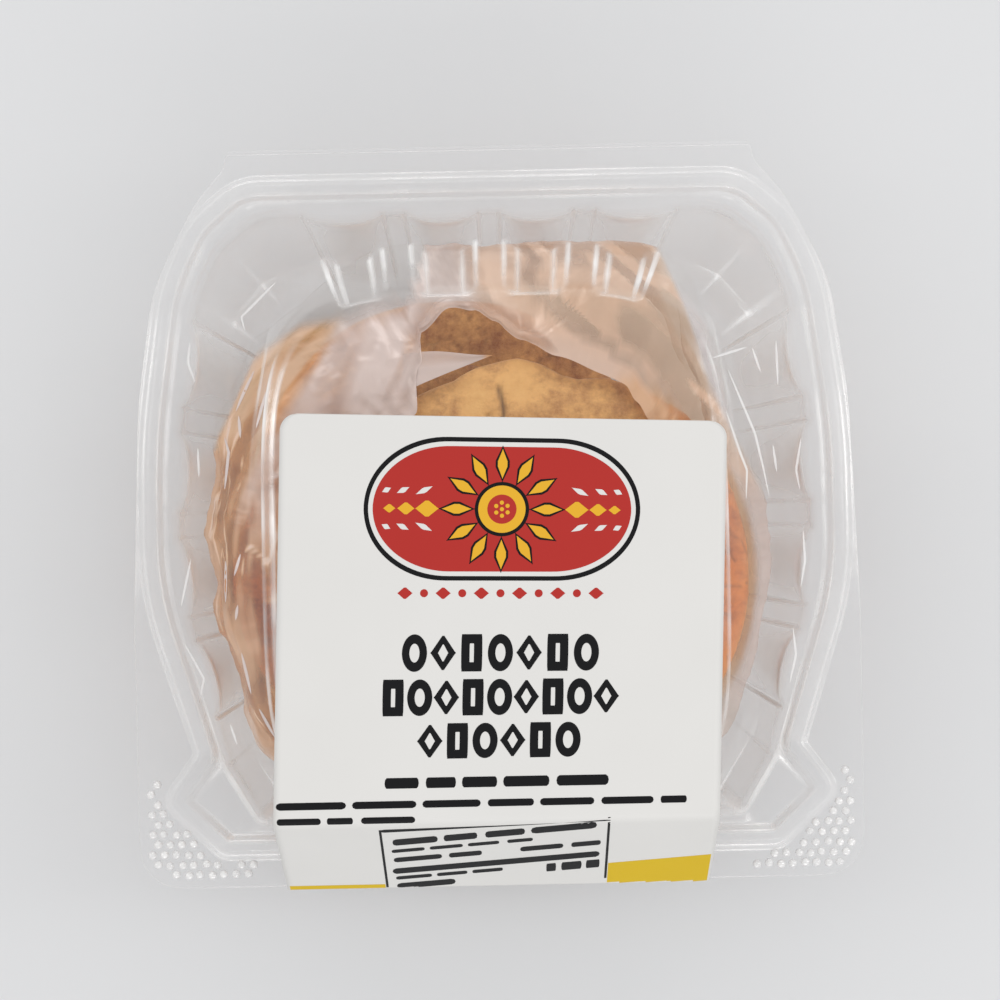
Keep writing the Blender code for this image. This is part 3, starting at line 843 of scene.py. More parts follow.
class BuildCornerDots(bpy.types.Operator):
    """Builds the small raised dots on the two front corners of the lid's rim, which give grip."""

    bl_idname = "macaroon_pack.corner_dots"
    bl_label = "Corner dots"

    def execute(self, context):
        pitch, radius, height = (2.5, 2.15), 0.95, 0.7
        sides, rings = 10, 3
        across, rows = np.meshgrid(np.arange(-40, 41), np.arange(0, 24))
        x = (across + 0.5 * (rows % 2)) * pitch[0]
        y = -75.9 + rows * pitch[1]
        place = np.stack([x.ravel(), y.ravel()], 1)
        shift = np.column_stack([place, 0 * place[:, 0]])
        place = place + np.stack([lattice_noise(shift, 1.3, 41), lattice_noise(shift, 1.3, 42)], 1) * 0.22
        clear_of_bead = inside(outline(FLANGE_EDGE, 1.9), place) & ~inside(outline(BEAD_LINE, -3.7), place)
        in_corner = (np.abs(place[:, 0]) > 52.0) & (place[:, 1] < -53.5)
        place = place[clear_of_bead & in_corner]
        turn = np.linspace(0, 2 * np.pi, sides, endpoint=False)
        turn, level = np.meshgrid(turn, np.linspace(0, np.pi / 2, rings + 1)[:-1])
        out = radius * np.cos(level)
        dome = np.stack([out * np.cos(turn), out * np.sin(turn), height * np.sin(level)], -1)
        dome = np.concatenate([dome.reshape(-1, 3), [(0, 0, height)]])
        inner, tip = sides * (rings - 1), sides * rings
        faces = grid_faces(rings, sides, True).tolist()
        faces += [[inner + i, inner + (i + 1) % sides, tip] for i in range(sides)]
        faces.append(list(range(sides - 1, -1, -1)))
        lift = LID_FLANGE_Z + 0.02
        points = (dome[None] + np.column_stack([place, np.full(len(place), lift)])[:, None]).reshape(-1, 3)
        every = [[v + len(dome) * k for v in f] for k in range(len(place)) for f in faces]
        # Painted highlights on the dots: rising from foot to tip, and stronger or weaker from dot to dot
        dot_highlight = 0.8 + 0.3 * lattice_noise(np.column_stack([place, 0 * place[:, 0]]), 2.1, 43)
        each = np.append(np.repeat((0.12, 0.35, 0.5), sides), 0.55)
        bend = {"bend": np.clip(np.tile(each, len(place)) * np.repeat(dot_highlight, len(dome)), 0, 1)}
        add_piece("corner_dots", points, every, plastic(), "lid", bend)
        return {"FINISHED"}


def inside(edge, places):
    """True where a point lies inside a closed outline, by counting the crossings to its right."""
    a, b = edge[None], np.roll(edge, -1, 0)[None]
    x, y = places[:, None, 0], places[:, None, 1]
    spans = (a[..., 1] > y) != (b[..., 1] > y)
    rise = np.where(np.abs(b[..., 1] - a[..., 1]) < 1e-12, 1e-12, b[..., 1] - a[..., 1])
    return (spans & (x < (b[..., 0] - a[..., 0]) * (y - a[..., 1]) / rise + a[..., 0])).sum(1) % 2 == 1


class BuildHinge(bpy.types.Operator):
    """Builds the folded strip between the lid and the tray."""

    bl_idname = "macaroon_pack.hinge"
    bl_label = "Hinge strip"

    def execute(self, context):
        rows, columns = 13, 60
        t = np.linspace(-np.pi / 2, np.pi / 2, rows)
        y, z = 78.1 + 0.8 * np.cos(t), 38.15 + 0.45 * np.sin(t)
        x = np.tile(np.linspace(-54.9, 54.9, columns), (rows, 1))
        points = np.stack([x, np.tile(y[:, None], (1, columns)), np.tile(z[:, None], (1, columns))], -1)
        faces = grid_faces(rows, columns, False)
        made = add_piece("hinge_strip", points.reshape(-1, 3), faces, plastic(), None)
        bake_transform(made)
        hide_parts("hinge")
        return {"FINISHED"}


# The label and its print


def label_path():
    """The paper's face from the side as (y, z): over the plateau, straight down to the rim and under it."""
    top = PLATEAU_Z + 0.42
    leave, radius = PLATEAU_Y - PLATEAU_HALF[1] + 0.9, 3.0
    edge = np.array([LABEL_FRONT_Y, LID_FLANGE_Z + 0.45])
    slope = math.atan2(leave - edge[0], top - edge[1])
    turn = np.linspace(0, math.pi / 2 - slope, 17)
    bend = np.stack([leave - radius * np.sin(turn), top - radius + radius * np.cos(turn)], 1)
    return np.concatenate([[(LABEL_TOP_Y, top)], bend, [edge, (edge[0], 38.3)]])


def tail_path():
    """The end of the paper below the rim, as (y, z)."""
    front = LABEL_FRONT_Y
    return np.array([(front, 37.9), (front, 36.7), (-76.0, 35.7), (-65.35, 28.5), (-64.15, 24.6)])


def path_length(path):
    """How far along a path each of its points is."""
    return np.concatenate([[0.0], np.cumsum(np.linalg.norm(np.diff(path, axis=0), axis=1))])


def on_paper(across, along, path, offset, lift=0.0):
    """Points on the label: across its width, along its length, lifted off its face along the normal."""
    lengths = path_length(path)
    y, z = np.interp(along, lengths, path[:, 0]), np.interp(along, lengths, path[:, 1])
    ahead, behind = along + 0.4, along - 0.4
    dy = np.interp(ahead, lengths, path[:, 0]) - np.interp(behind, lengths, path[:, 0])
    dz = np.interp(ahead, lengths, path[:, 1]) - np.interp(behind, lengths, path[:, 1])
    size = np.maximum(np.hypot(dy, dz), 1e-9)
    flat = np.clip(1 - along / 78.0, 0, 1) if offset == 0 else 0.0
    from_middle = np.minimum(offset + along, LABEL_CREASE) - 44.45
    x = LABEL_X + across * math.cos(LABEL_SKEW) - from_middle * math.sin(LABEL_SKEW)
    y = y - across * math.sin(LABEL_SKEW) * flat
    return np.stack([x, y + lift * dz / size, z - lift * dy / size], -1)


class BuildLabel(bpy.types.Operator):
    """Builds the paper label over the plateau and the front, and its end below the rim."""

    bl_idname = "macaroon_pack.label"
    bl_label = "Label"

    def execute(self, context):
        paper = paper_material("label_paper", tuple(looks().paper), 0.5)
        half = looks().label_width / MM / 2
        for name, body, node, path, offset in (
            ("paper_label", "lid", "label", label_path(), 0.0),
            ("paper_label_end", "tray", "label_tail", tail_path(), 112.0),
        ):
            long = path_length(path)
            near_corner = np.linspace(0, LABEL_CORNER, 14)
            rows = np.unique(np.concatenate([np.linspace(0, long[-1], 150), long, near_corner]).round(4))
            short = np.zeros(len(rows))
            if offset == 0:
                short = np.clip(LABEL_CORNER - rows, 0, LABEL_CORNER)
            cut = LABEL_CORNER - np.sqrt(LABEL_CORNER**2 - short**2)
            across = (half - cut)[:, None] * np.linspace(-1, 1, LABEL_COLUMNS)[None]
            points = on_paper(across, np.tile(rows[:, None], (1, LABEL_COLUMNS)), path, offset)
            faces = grid_faces(len(rows), LABEL_COLUMNS, False)[:, ::-1]
            made = add_piece(name, points.reshape(-1, 3), faces, paper, body, thick=PAPER)
            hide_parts(node)
        return {"FINISHED"}


# Kinds of printed shape, as ink_patch takes them, the inks, and the badge's middle
BAR, DISC, SQUARE, KITE, STADIUM = (0.12, 2), (1.0, 2), (0.04, 2), (1.0, 1), (0.6, 2)
RED, GOLD = (0.44, 0.031, 0.025), (0.76, 0.42, 0.03)
YELLOW, BLACK = (0.68, 0.46, 0.008), (0.006, 0.006, 0.007)
BADGE = (0, 18.3)


def ink_patch(middle, half, kind, columns=14, rows=4, turn=0.0):
    """A printed shape: a strip whose half height is h times (1 - (1 - d)^p)^(1/p), then turned.

    kind is (s, p). d rises from 0 at each end to 1 within the share s of the half width, and p is 2 for
    round ends and 1 for pointed ones.
    """
    share, power = kind
    a = np.sin(np.linspace(-1, 1, columns) * np.pi / 2)[None]
    b = np.linspace(-1, 1, rows)[:, None]
    taper = np.clip((1 - np.abs(a)) / max(share, 1e-6), 0.0, 1.0)
    height = np.maximum((1 - (1 - taper) ** power) ** (1 / power), 0.04)
    u, v = half[0] * a + 0 * b, half[1] * b * height
    c, s = math.cos(turn), math.sin(turn)
    return middle[0] + u * c - v * s, middle[1] + u * s + v * c


def ink(name, shapes, colour, layer):
    """Prints shapes of one colour: each an ink patch, all in one piece lying on the paper.

    The crease is askew, so below it the print runs up to the right: 0.16 mm along for each mm across.
    """
    path = label_path()
    end = path_length(path)[-1] - 0.12
    lift = 0.012 + 0.012 * layer
    points, faces, count = [], [], 0
    for across, along in shapes:
        askew = along - 0.16 * across * smooth((along - 80.8) / 3.0)
        placed = on_paper(across, np.clip(askew, 0.3, end), path, 0.0, lift)
        rows, columns = placed.shape[:2]
        points.append(placed.reshape(-1, 3))
        faces.append(grid_faces(rows, columns, False)[:, ::-1] + count)
        count += rows * columns
    points, faces = np.concatenate(points), np.concatenate(faces)
    finish = paper_material("ink_" + name, colour, 0.5, 0.15)
    return add_piece("print_" + name, points, faces, finish, "lid")


def print_badge(white):
    """The badge: three stadium fields, one on another, a sun of twelve petals, and kites at its sides."""
    turns = [k * math.pi / 6 for k in range(12)]
    petals = [(t, (9.0 * math.cos(t), BADGE[1] + 9.0 * math.sin(t))) for t in turns]
    flower = [ink_patch(place, (2.9, 1.15), KITE, 10, 5, t) for t, place in petals]
    flower.append(ink_patch(BADGE, (4.7, 4.7), DISC, 36, 14))
    outlines = [ink_patch(place, (3.6, 1.7), KITE, 10, 5, t) for t, place in petals]
    outlines.append(ink_patch(BADGE, (5.4, 5.4), DISC, 36, 14))
    seeds = [(k * math.pi / 3 + 0.5, 1.3) for k in range(6)] + [(0.0, 0.0)]
    seeds = [(r * math.cos(t), BADGE[1] + r * math.sin(t)) for t, r in seeds]
    dots = [ink_patch(place, (0.42, 0.42), DISC, 10, 6) for place in seeds]
    leaves = []
    for side in (-1, 1):
        for across, half in ((14.9, 2.3), (19.1, 1.7), (22.4, 1.2)):
            flower.append(ink_patch((side * across, BADGE[1]), (half, half * 0.8), KITE, 12, 7))
            for up in (-1, 1):
                place = (side * (across + 0.6), BADGE[1] + 3.6 * up)
                leaves.append(ink_patch(place, (half * 0.8, 0.6), KITE, 12, 5, side * -0.45 * up))
    fields = (("ring", (27.5, 14.2), BLACK), ("gap", (26.6, 13.3), white), ("field", (25.7, 12.4), RED))
    for layer, (name, half, colour) in enumerate(fields):
        ink("badge_" + name, [ink_patch(BADGE, half, STADIUM, 60, 24)], colour, layer)
    ink("badge_outline", outlines, BLACK, 3)
    ink("badge_flower", flower, GOLD, 4)
    ink("badge_leaves", leaves, white, 3)
    ink("badge_heart", [ink_patch(BADGE, (2.9, 2.9), DISC, 24, 10)], RED, 5)
    ink("badge_seeds", dots, GOLD, 6)


def print_rows(white):
    """Rows below the badge: small red shapes, three rows of open shapes, bars, and a panel with its bars."""
    small_red = []
    for k in range(-5, 6):
        half, kind = ((1.5, 1.3), KITE) if k % 2 else ((0.8, 0.8), DISC)
        small_red.append(ink_patch((3.8 * k, 35.0), half, kind, 12, 6))
    ink("red_row", small_red, RED, 0)

    black, holes = [], []
    open_rows = ((46.8, 7, 3.7, 5.7), (55.6, 9, 3.6, 5.3), (64.2, 6, 3.5, 5.5))
    for row, (along, count, high, pitch) in enumerate(open_rows):
        for k in range(count):
            place = ((k - (count - 1) / 2) * pitch + 0.2, along)
            kind = (DISC, SQUARE, KITE)[(k * 2 + row) % 3]
            wide, opening = (2.1, 0.2) if kind is SQUARE else (2.5, 0.4)
            black.append(ink_patch(place, (wide, high), kind, 20, 8))
            holes.append(ink_patch(place, (wide * opening, high * 0.5), kind, 16, 6))
    words = ((-19.4, 3.4), (-11.6, 3.0), (-3.9, 3.5), (5.4, 4.6), (16.6, 5.2))
    black += [ink_patch((u + 0.4, 72.4), (w, 1.05), BAR) for u, w in words]
    small = ((-37.0, 7.0), (-22.4, 6.4), (-9.0, 5.8), (2.8, 4.6), (14.0, 5.4), (26.0, 5.2), (35.2, 2.6))
    black += [ink_patch((u, 76.6), (w, 0.72), BAR) for u, w in small]
    lowest = ((-39.4, 4.4), (-31.2, 2.6), (-21.6, 5.4))
    black += [ink_patch((u, 79.7), (w, 0.7), BAR, 14, 16) for u, w in lowest]
    panel = [(-0.5, 82.0, 22.9, 0.26), (-23.4, 97.2, 0.26, 15.4)]
    panel += [(22.4, 97.2, 0.26, 15.4), (-0.5, 99.8, 21.4, 1.4)]
    black += [ink_patch((u, v), (w, h), SQUARE, 24, 20) for u, v, w, h in panel]
    panel_rows = (
        (85.6, 1.5, 12, ((-16.6, 4.6), (-7.4, 3.4), (1.6, 4.0), (13.4, 6.6))),
        (89.8, 0.8, 12, ((-18.2, 3.4), (-10.4, 3.4), (-2.8, 3.2), (4.6, 2.6))),
        (94.2, 1.15, 12, ((-16.4, 5.0), (-6.6, 3.4), (9.0, 4.4), (18.0, 3.0))),
        (103.4, 0.85, 12, ((-17.6, 3.8), (-9.6, 3.2), (-2.2, 3.2))),
        (107.6, 1.45, 12, ((-15.2, 6.2),)),
        (104.6, 2.0, 14, ((11.0, 1.0), (15.2, 2.1), (19.6, 1.4))),
    )
    for v, h, columns, row in panel_rows:
        black += [ink_patch((u, v), (w, h), BAR, columns, 6) for u, w in row]
    ink("black", black, BLACK, 1)
    ink("holes", holes, white, 2)


def print_band():
    """The two yellow fields at the front edge: a thin one at the left, and a deeper one at the right."""
    u = np.linspace(0, 1, 16)[None]
    v = np.linspace(0, 1, 20)[:, None]
    left, right = -43.9 + 20.1 * u + 0 * v, 22.8 + 21.1 * u + 0 * v
    last = path_length(label_path())[-1]
    ink("yellow", [(left, last - 2.9 + 0.16 * left + 4 * v), (right, 104.9 + 16 * v + 0 * u)], YELLOW, 0)


class BuildPrint(bpy.types.Operator):
    """Prints plain generic shapes: a badge with a flower, rows of shapes and bars, a panel and a band."""

    bl_idname = "macaroon_pack.print"
    bl_label = "Print"

    def execute(self, context):
        white = tuple(looks().paper)
        print_badge(white)
        print_rows(white)
        print_band()
        return {"FINISHED"}


# The macaroons


def macaroon_profile(rows, samples=4000):
    """(r, h, side) of a macaroon's half section, spaced by length and closer on the top.

    r = cos(v)^0.45 and side = |sin(v)|^0.6 with its sign. h is side scaled from 0 to 1.
    """
    v = np.linspace(np.pi / 2, -np.pi / 2, samples)
    r = np.maximum(np.cos(v), 0) ** 0.45
    lift = np.copysign(np.abs(np.sin(v)) ** 0.6, v)
    h = (1 + lift * np.where(lift < 0, 0.98, 0.86)) / 2
    far = np.concatenate([[0], np.cumsum(np.hypot(np.diff(r) * 45, np.diff(h) * COOKIE_THICK))])
    share = np.linspace(0, 1, rows)
    share = np.where(share < 0.72, share / 0.72 * 0.58, 0.58 + (share - 0.72) / 0.28 * 0.42)
    want = share * far[-1]
    return np.interp(want, far, r), np.interp(want, far, h), np.interp(want, far, lift)


def shreds(points, seed):
    """Short raised shreds: noise stretched along three directions, each where a broad noise picks it."""
    total = np.zeros(len(points))
    for k, angle in enumerate((0.3, 1.35, 2.4)):
        c, s = math.cos(angle), math.sin(angle)
        along = points[:, 0] * c + points[:, 1] * s
        across = points[:, 1] * c - points[:, 0] * s
        line = lattice_noise(np.stack([along / 4.2, across / 0.95, points[:, 2] / 2.0], 1), 1.0, seed + k)
        pick = smooth(0.5 + lattice_noise(points, 6.0, seed + 40 + k) * 1.6)
        total += np.clip(line, 0, 1) ** 1.5 * pick
    return total


def macaroon_shape(index, radius):
    """One macaroon's points round its own middle, its faces, and its bake with painted shade and its crack at
    each point.
    """
    is_top = index == len(COOKIES)
    rows, count = (190, 420) if is_top else (130, 320)
    r, h, lift = macaroon_profile(rows)
    turn = np.linspace(0, 2 * np.pi, count, endpoint=False)
    rim = np.stack([np.cos(turn), np.sin(turn), np.full(count, index * 3.7)], 1)
    edge = 1 + 0.011 * cloud(rim, 0.5, 3, index)
    if is_top:
        edge *= np.interp(np.degrees(turn), *TOP_EDGE)
    reach = (radius - 1.0) * r[1:-1, None] * edge[None]
    px, py = reach * np.cos(turn), reach * np.sin(turn)
    height = np.tile(h[1:-1, None] * COOKIE_THICK, (1, count))
    flat = np.stack([px, py, height], -1).reshape(-1, 3)
    where = flat + (0, 0, index * 50.0)
    up = np.tile(lift[1:-1, None], (1, count)).ravel()
    lumps = cloud(where, 8.5, 3, 100 * index)
    grain = shreds(where, 300 * index)
    wander = cloud(where, 13.0, 3, 500 * index)
    near_rim = smooth((np.hypot(flat[:, 0], flat[:, 1]) / radius - 0.45) / 0.4)
    crack = smooth(1 - np.abs(wander) / 0.045) * near_rim * (up > -0.2) * 0.5
    if is_top:
        bend = 0.5 * np.sin(flat[:, 1] * 0.5)
        split = np.exp(-(((flat[:, 0] + 3.6 + bend) / 0.55) ** 2))
        split = split * smooth((flat[:, 1] - 20) / 6) * smooth((41 - flat[:, 1]) / 2)
        crack = np.maximum(crack, split * (up > 0))
    above = 0.5 * lumps * smooth(up * 1.5) + 0.30 * (grain - 0.3)
    rise = np.where(up > 0, above, 0.12 * grain)
    outward = np.stack([flat[:, 0], flat[:, 1], np.zeros(len(flat))], 1)
    outward /= np.maximum(np.linalg.norm(outward, axis=1), 1e-6)[:, None]
    side = (1 - np.abs(up)) ** 1.5
    upward = np.array([0, 0, 1.0]) * np.sign(up)[:, None]
    way = outward * side[:, None] + upward * (1 - side)[:, None]
    flat = flat + way * (rise - 0.8 * crack)[:, None]
    patchy = 0.25 * np.clip(lumps, -1, 1) + 0.15 * (grain - 0.3)
    bake = 0.26 + 0.34 * near_rim + patchy * (0.85 if is_top else 0.3) + 0.25 * (up < 0)
    # Painted shade: the lower macaroons, under the top one, are darker
    bake += 0.0 if is_top else 0.22
    top, bottom = (np.array([0, 0, end * COOKIE_THICK]) for end in (h[0], h[-1]))
    local = np.concatenate([[top], flat, [bottom]])
    last, first = len(local) - 1, 1 + (rows - 3) * count
    faces = (grid_faces(rows - 2, count, True)[:, ::-1] + 1).tolist()
    faces += [[0, 1 + i, 1 + (i + 1) % count] for i in range(count)]
    faces += [[last, first + (i + 1) % count, first + i] for i in range(count)]
    lean_x, lean_y = (math.radians(a) for a in COOKIE_LEAN[index - 1])
    local[:, 2] += local[:, 1] * math.tan(lean_x) - local[:, 0] * math.tan(lean_y)
    values = {"bake": np.concatenate([[0.4], bake, [0.6]]), "crack": np.concatenate([[0], crack, [0]])}
    return local, faces, values


class BuildMacaroons(bpy.types.Operator):
    """Builds the round flat macaroons: lumpy, shredded, cracked towards the edge and browned there."""

    bl_idname = "macaroon_pack.macaroons"
    bl_label = "Macaroons"

    def execute(self, context):
        own = looks()
        finish = crust_material("baked_coconut", tuple(own.crumb), tuple(own.golden), tuple(own.brown))
        for index, (x, y, base, radius) in enumerate(COOKIES, 1):
            local, faces, values = macaroon_shape(index, radius)
            name, place = f"coconut_macaroon_{index}", local + (x, y, base)
            made = add_piece(name, place, faces, finish, "tray", values)
            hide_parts(f"macaroon_{index}")
        return {"FINISHED"}


# The film


def film_material():
    """The wrap: nearly clear, pinkish white in its folds and painted glints, amber where it clings to the
    macaroons.
    """
    tint, body = (0.995, 0.99, 0.985), tuple(looks().film)
    roughness, metallic, haze, gloss = 0.24, 0.05, 0.04, 0.25
    mask, bump = ("folds", 1.15), (260.0, 0.25, 0.0005)
    stain = ("amber", (0.92, 0.60, 0.31), (0.80, 0.42, 0.16))
    return see_through("wrap_film", tint, body, roughness, metallic, haze, gloss, mask, bump, stain)


def stack_reach(middle, way, low, high):
    """How far the macaroons between two heights reach along lines seen from above."""
    best = np.zeros(len(way))
    for x, y, base, radius in COOKIES:
        if base > high or base + COOKIE_THICK < low:
            continue
        to_middle = np.array([x, y]) - middle
        along = way @ to_middle
        within = radius**2 - to_middle @ to_middle + along**2
        best = np.maximum(best, np.where(within > 0, along + np.sqrt(np.maximum(within, 0)), 0))
    return best


def line_reach(middle, way, edge):
    """How far a closed outline is along lines from one point."""
    hit = crossing(edge, np.tile(middle, (len(way), 1)), middle + way)
    return np.linalg.norm(hit - middle, axis=1)


def film_mouth(degrees):
    """The mouth's reach at each angle, eased from one knot to the next."""
    next_knot = np.searchsorted(FILM_MOUTH[:, 0], degrees, "right")
    before = FILM_MOUTH[np.clip(next_knot - 1, 0, len(FILM_MOUTH) - 2)]
    after = FILM_MOUTH[np.clip(next_knot, 1, len(FILM_MOUTH) - 1)]
    share = (degrees - before[:, 0]) / (after[:, 0] - before[:, 0])
    return before[:, 1] + (after[:, 1] - before[:, 1]) * smooth(share)


def film_rows(angle, middle, top, mouth):
    """Rings of the film from its mouth over the shoulder and down round the pile, and its unit normals.

    Below the shoulder each ring lies part of the way from the pile to the tray's wall, in between its lobes.
    """
    degrees, count = np.degrees(angle), len(angle)
    way = np.stack([np.cos(angle), np.sin(angle)], 1)
    ledge = line_reach(middle, way, outline(LID_LEDGE))
    shoulder = np.maximum(stack_reach(middle, way, 34.0, 60.0) + 2.0, mouth + 2.0)
    shoulder = np.minimum(shoulder, ledge - 2.6)
    fills = smooth((degrees - 14) / 22) * smooth((88 - degrees) / 16)
    crease = line_reach(middle, way, outline(LID_CREASE)) - 0.5
    shoulder += fills * np.maximum(crease - shoulder, 0)
    keys = []
    for share, z in ((0.0, top + 1.4), (0.55, top + 1.9), (1.0, top + 0.5)):
        far = mouth + (shoulder - mouth) * share
        keys.append((np.column_stack([middle + way * far[:, None], np.full(count, z)]), 3.0))
    low = line_reach(middle, way, outline(WALL_FOOT))
    high = line_reach(middle, way, outline(RIM_INSIDE)) - 0.9
    to_wall = 0.5 + 0.33 * smooth((way[:, 1] - 0.78) / 0.17) + 0.24 * smooth((-0.6 - way[:, 0]) / 0.3)
    for z in (40.5, 30.0, 18.0, 6.9):
        inner = stack_reach(middle, way, z - 2.0, z + 2.0)
        part = min(max((min(z, 32.5) - 8.0) / 24.5, 0.0), 1.0)
        outer = low + (high - low) * part - 2.0
        far = inner + (outer - inner) * to_wall
        lobes = pillows(middle[1] + way[:, 1] * far, SIDE_LOBES, SIDE_LOBE_HALF)
        far -= 1.6 * lobes * (way[:, 0] < -0.5) * (z > 20)
        keys.append((np.column_stack([middle + way * far[:, None], np.full(count, z)]), 3.0))
    rows = rounded_profile(keys)
    spread = np.linspace(0, len(rows) - 1, 88)
    low = np.minimum(spread.astype(int), len(rows) - 2)
    rows = rows[low] + (rows[low + 1] - rows[low]) * (spread - low)[:, None, None]
    return rows, loft_normals(rows)[0]


def film_looks(flat, turn, down, mouth, middle):
    """How folded, with painted glints, and how amber the film is at each point, by its angle, reach and way
    down.
    """
    place, across = np.degrees(turn), 0 * turn
    x, y = flat[:, 0], flat[:, 1]
    reach = np.hypot(x - middle[0], y - middle[1])
    about = film_place(turn, down)
    upper = 1 - smooth((down - 0.42) / 0.2)
    wispy = 0.5 + 0.8 * lattice_noise(about * (1, 1, 0.4), 0.5, 75) + 0.35 * lattice_noise(flat, 5.0, 76)
    wispy = smooth(wispy)
    left_way = np.stack([(x * 0.907 - y * 0.42) / 1.7, (x * 0.42 + y * 0.907) / 15, across], 1)
    right_way = np.stack([(x * 0.69 + y * 0.72) / 2.0, (x * 0.72 - y * 0.69) / 17, across], 1)
    left_streak = 0.5 + 0.65 * lattice_noise(left_way, 1.0, 78)
    right_streak = 0.5 + 0.65 * lattice_noise(right_way, 1.0, 79)
    left = smooth((place - 96) / 8) * smooth((176 - place) / 30)
    right = smooth((place - 15) / 15) * smooth((102 - place) / 6)
    white = np.exp(-(((x + 22.5 - (y - 30) * 0.1) / 5.5) ** 2))
    beyond = smooth(((x + 34.9) * 0.859 - (y - 36.5) * 0.512) / 3.5 + 0.5)
    edge = np.exp(-((np.maximum(reach - mouth, 0) / 6.0) ** 2))
    folds = left * beyond * (0.36 + 0.36 * white + 0.34 * (left_streak - 0.3))
    folds += right * (0.1 + 0.36 * edge + 0.42 * smooth((right_streak - 0.42) / 0.3))
    folds = folds * upper + 0.35 * np.exp(-down * 70) + 0.1 * wispy
    folds += (1 - upper) * 0.3 * smooth((np.sin(turn) - 0.8) / 0.15)
    pockets = 0.5 + 0.8 * lattice_noise(np.stack([reach / 3.4, turn * 4.5, across], 1), 1.0, 83)
    pockets = smooth(pockets + 0.6 * lattice_noise(np.stack([reach / 1.2, turn * 7.0, down * 9], 1), 1.0, 84))
    clinging = smooth((place - 116) / 12) * smooth((234 - place) / 13) * (1 - left * upper * beyond)
    deep = smooth((place - 135) / 40)
    folds += clinging * (0.54 - 0.12 * deep - 0.46 * pockets)
    amber = clinging * (0.62 + 0.18 * deep + 0.4 * pockets)
    over_cookie = smooth((48.5 - reach) / 2) * smooth((66 - place) / 6)
    amber += right * upper * (0.3 + 0.2 * (1 - edge) + 0.35 * over_cookie)
    beside = smooth((40 - np.abs((place + 180) % 360 - 180)) / 20)
    amber += 0.9 * beside * smooth((49.5 - reach) / 2)
    folds += 0.3 * beside * smooth((reach - 48) / 2.5)
    # Painted glints: thin bright lines, added to the folds and taken off the amber
    round_it = np.stack([np.cos(turn) * 4.5, np.sin(turn) * 4.5, down * 26.0], 1)
    glints = smooth(1 - np.abs(lattice_noise(round_it, 1.0, 81)) / 0.09) * wispy
    glints *= smooth((place - 140) / 10) * smooth((232 - place) / 10)
    folds += 0.7 * glints
    amber = np.clip(amber - 0.6 * glints, 0, 1)
    unseen = smooth((y - np.interp(x, *FILM_BACK)) / 4.0 + 0.5)
    faint = 0.3 - 0.48 * smooth((down - 0.28) / 0.16)
    folds = np.clip(folds, 0, 1) * (1 - unseen) + faint * unseen
    return {"folds": folds, "amber": (0.15 + 0.85 * amber) * (1 - unseen)}


def film_place(turn, down):
    """A place in noise for each point of the film, so that its creases run down it."""
    return np.stack([np.cos(turn) * 9, np.sin(turn) * 9, down * 3.0], 1)


def build_tongue(finish, top):
    """The film's loose tongue: a strip whose front edge runs back to a point, browned at its tip."""
    u, v = np.meshgrid(np.linspace(0, 1, 60), np.linspace(0, 1, 16))
    x = -18.5 + 18.6 * u
    back, front = 34.6 + 0.5 * np.sin(u * 5), 26.6 + 7.4 * u**0.9
    y = front + (back - front) * v
    ripple = lattice_noise(np.stack([x / 3, y, 0 * x], -1).reshape(-1, 3), 1.6, 77).reshape(x.shape)
    z = top + 0.9 + 0.3 * v + 0.15 * ripple
    points = np.stack([x, y, z], -1).reshape(-1, 3)
    tip = smooth((u - 0.86) / 0.12)
    folds = 0.78 + 0.2 * np.sin(v * 5 + u * 2) * (1 - tip)
    own = {"folds": folds.ravel(), "amber": (0.15 + 0.75 * tip).ravel()}
    faces = grid_faces(*u.shape, False)
    add_piece("film_tongue", points, faces, finish, "tray", own)


class BuildFilm(bpy.types.Operator):
    """Builds the loose clear wrap: an open, creased mouth over the top macaroon, then down round the pile."""

    bl_idname = "macaroon_pack.film"
    bl_label = "Film"

    def execute(self, context):
        count = 460
        angle = np.linspace(0, 2 * np.pi, count, endpoint=False)
        middle = np.array(COOKIES[-1][:2])
        top = COOKIES[-1][2] + COOKIE_THICK
        mouth = film_mouth(np.degrees(angle))
        rows, normal = film_rows(angle, middle, top, mouth)
        flat = rows.reshape(-1, 3)
        turn = np.tile(angle[None], (len(rows), 1)).ravel()
        down = np.repeat(np.arange(len(rows)) / (len(rows) - 1), count)
        about = film_place(turn, down)
        crease = 1 - 2 * np.abs(lattice_noise(about, 1.0, 71))
        crease = crease + 0.6 * (1 - 2 * np.abs(lattice_noise(about, 0.42, 72)))
        crease += 0.35 * (1 - 2 * np.abs(lattice_noise(flat, 3.2, 73)))
        flat = flat + normal.reshape(-1, 3) * np.clip(0.42 * crease, -1.0, 1.0)[:, None]
        flat[:, 2] = np.minimum(flat[:, 2], top + 2.9)
        finish, faces = film_material(), grid_faces(len(rows), count, True)
        own = film_looks(flat, turn, down, np.tile(mouth, len(rows)), middle)
        made = add_piece("film_wrap_loose", flat, faces, finish, "tray", own)
        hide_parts("film_wrap")
        # Painted glints on the film: ribbons with the folds mask near full
        half, own = 0.3, {"folds": 0.95, "amber": 0.1}
        glint_ribbons("film_creases", FILM_GLINTS, half, flat, faces, finish, "tray", own)
        build_tongue(finish, top)
        return {"FINISHED"}


# The stage


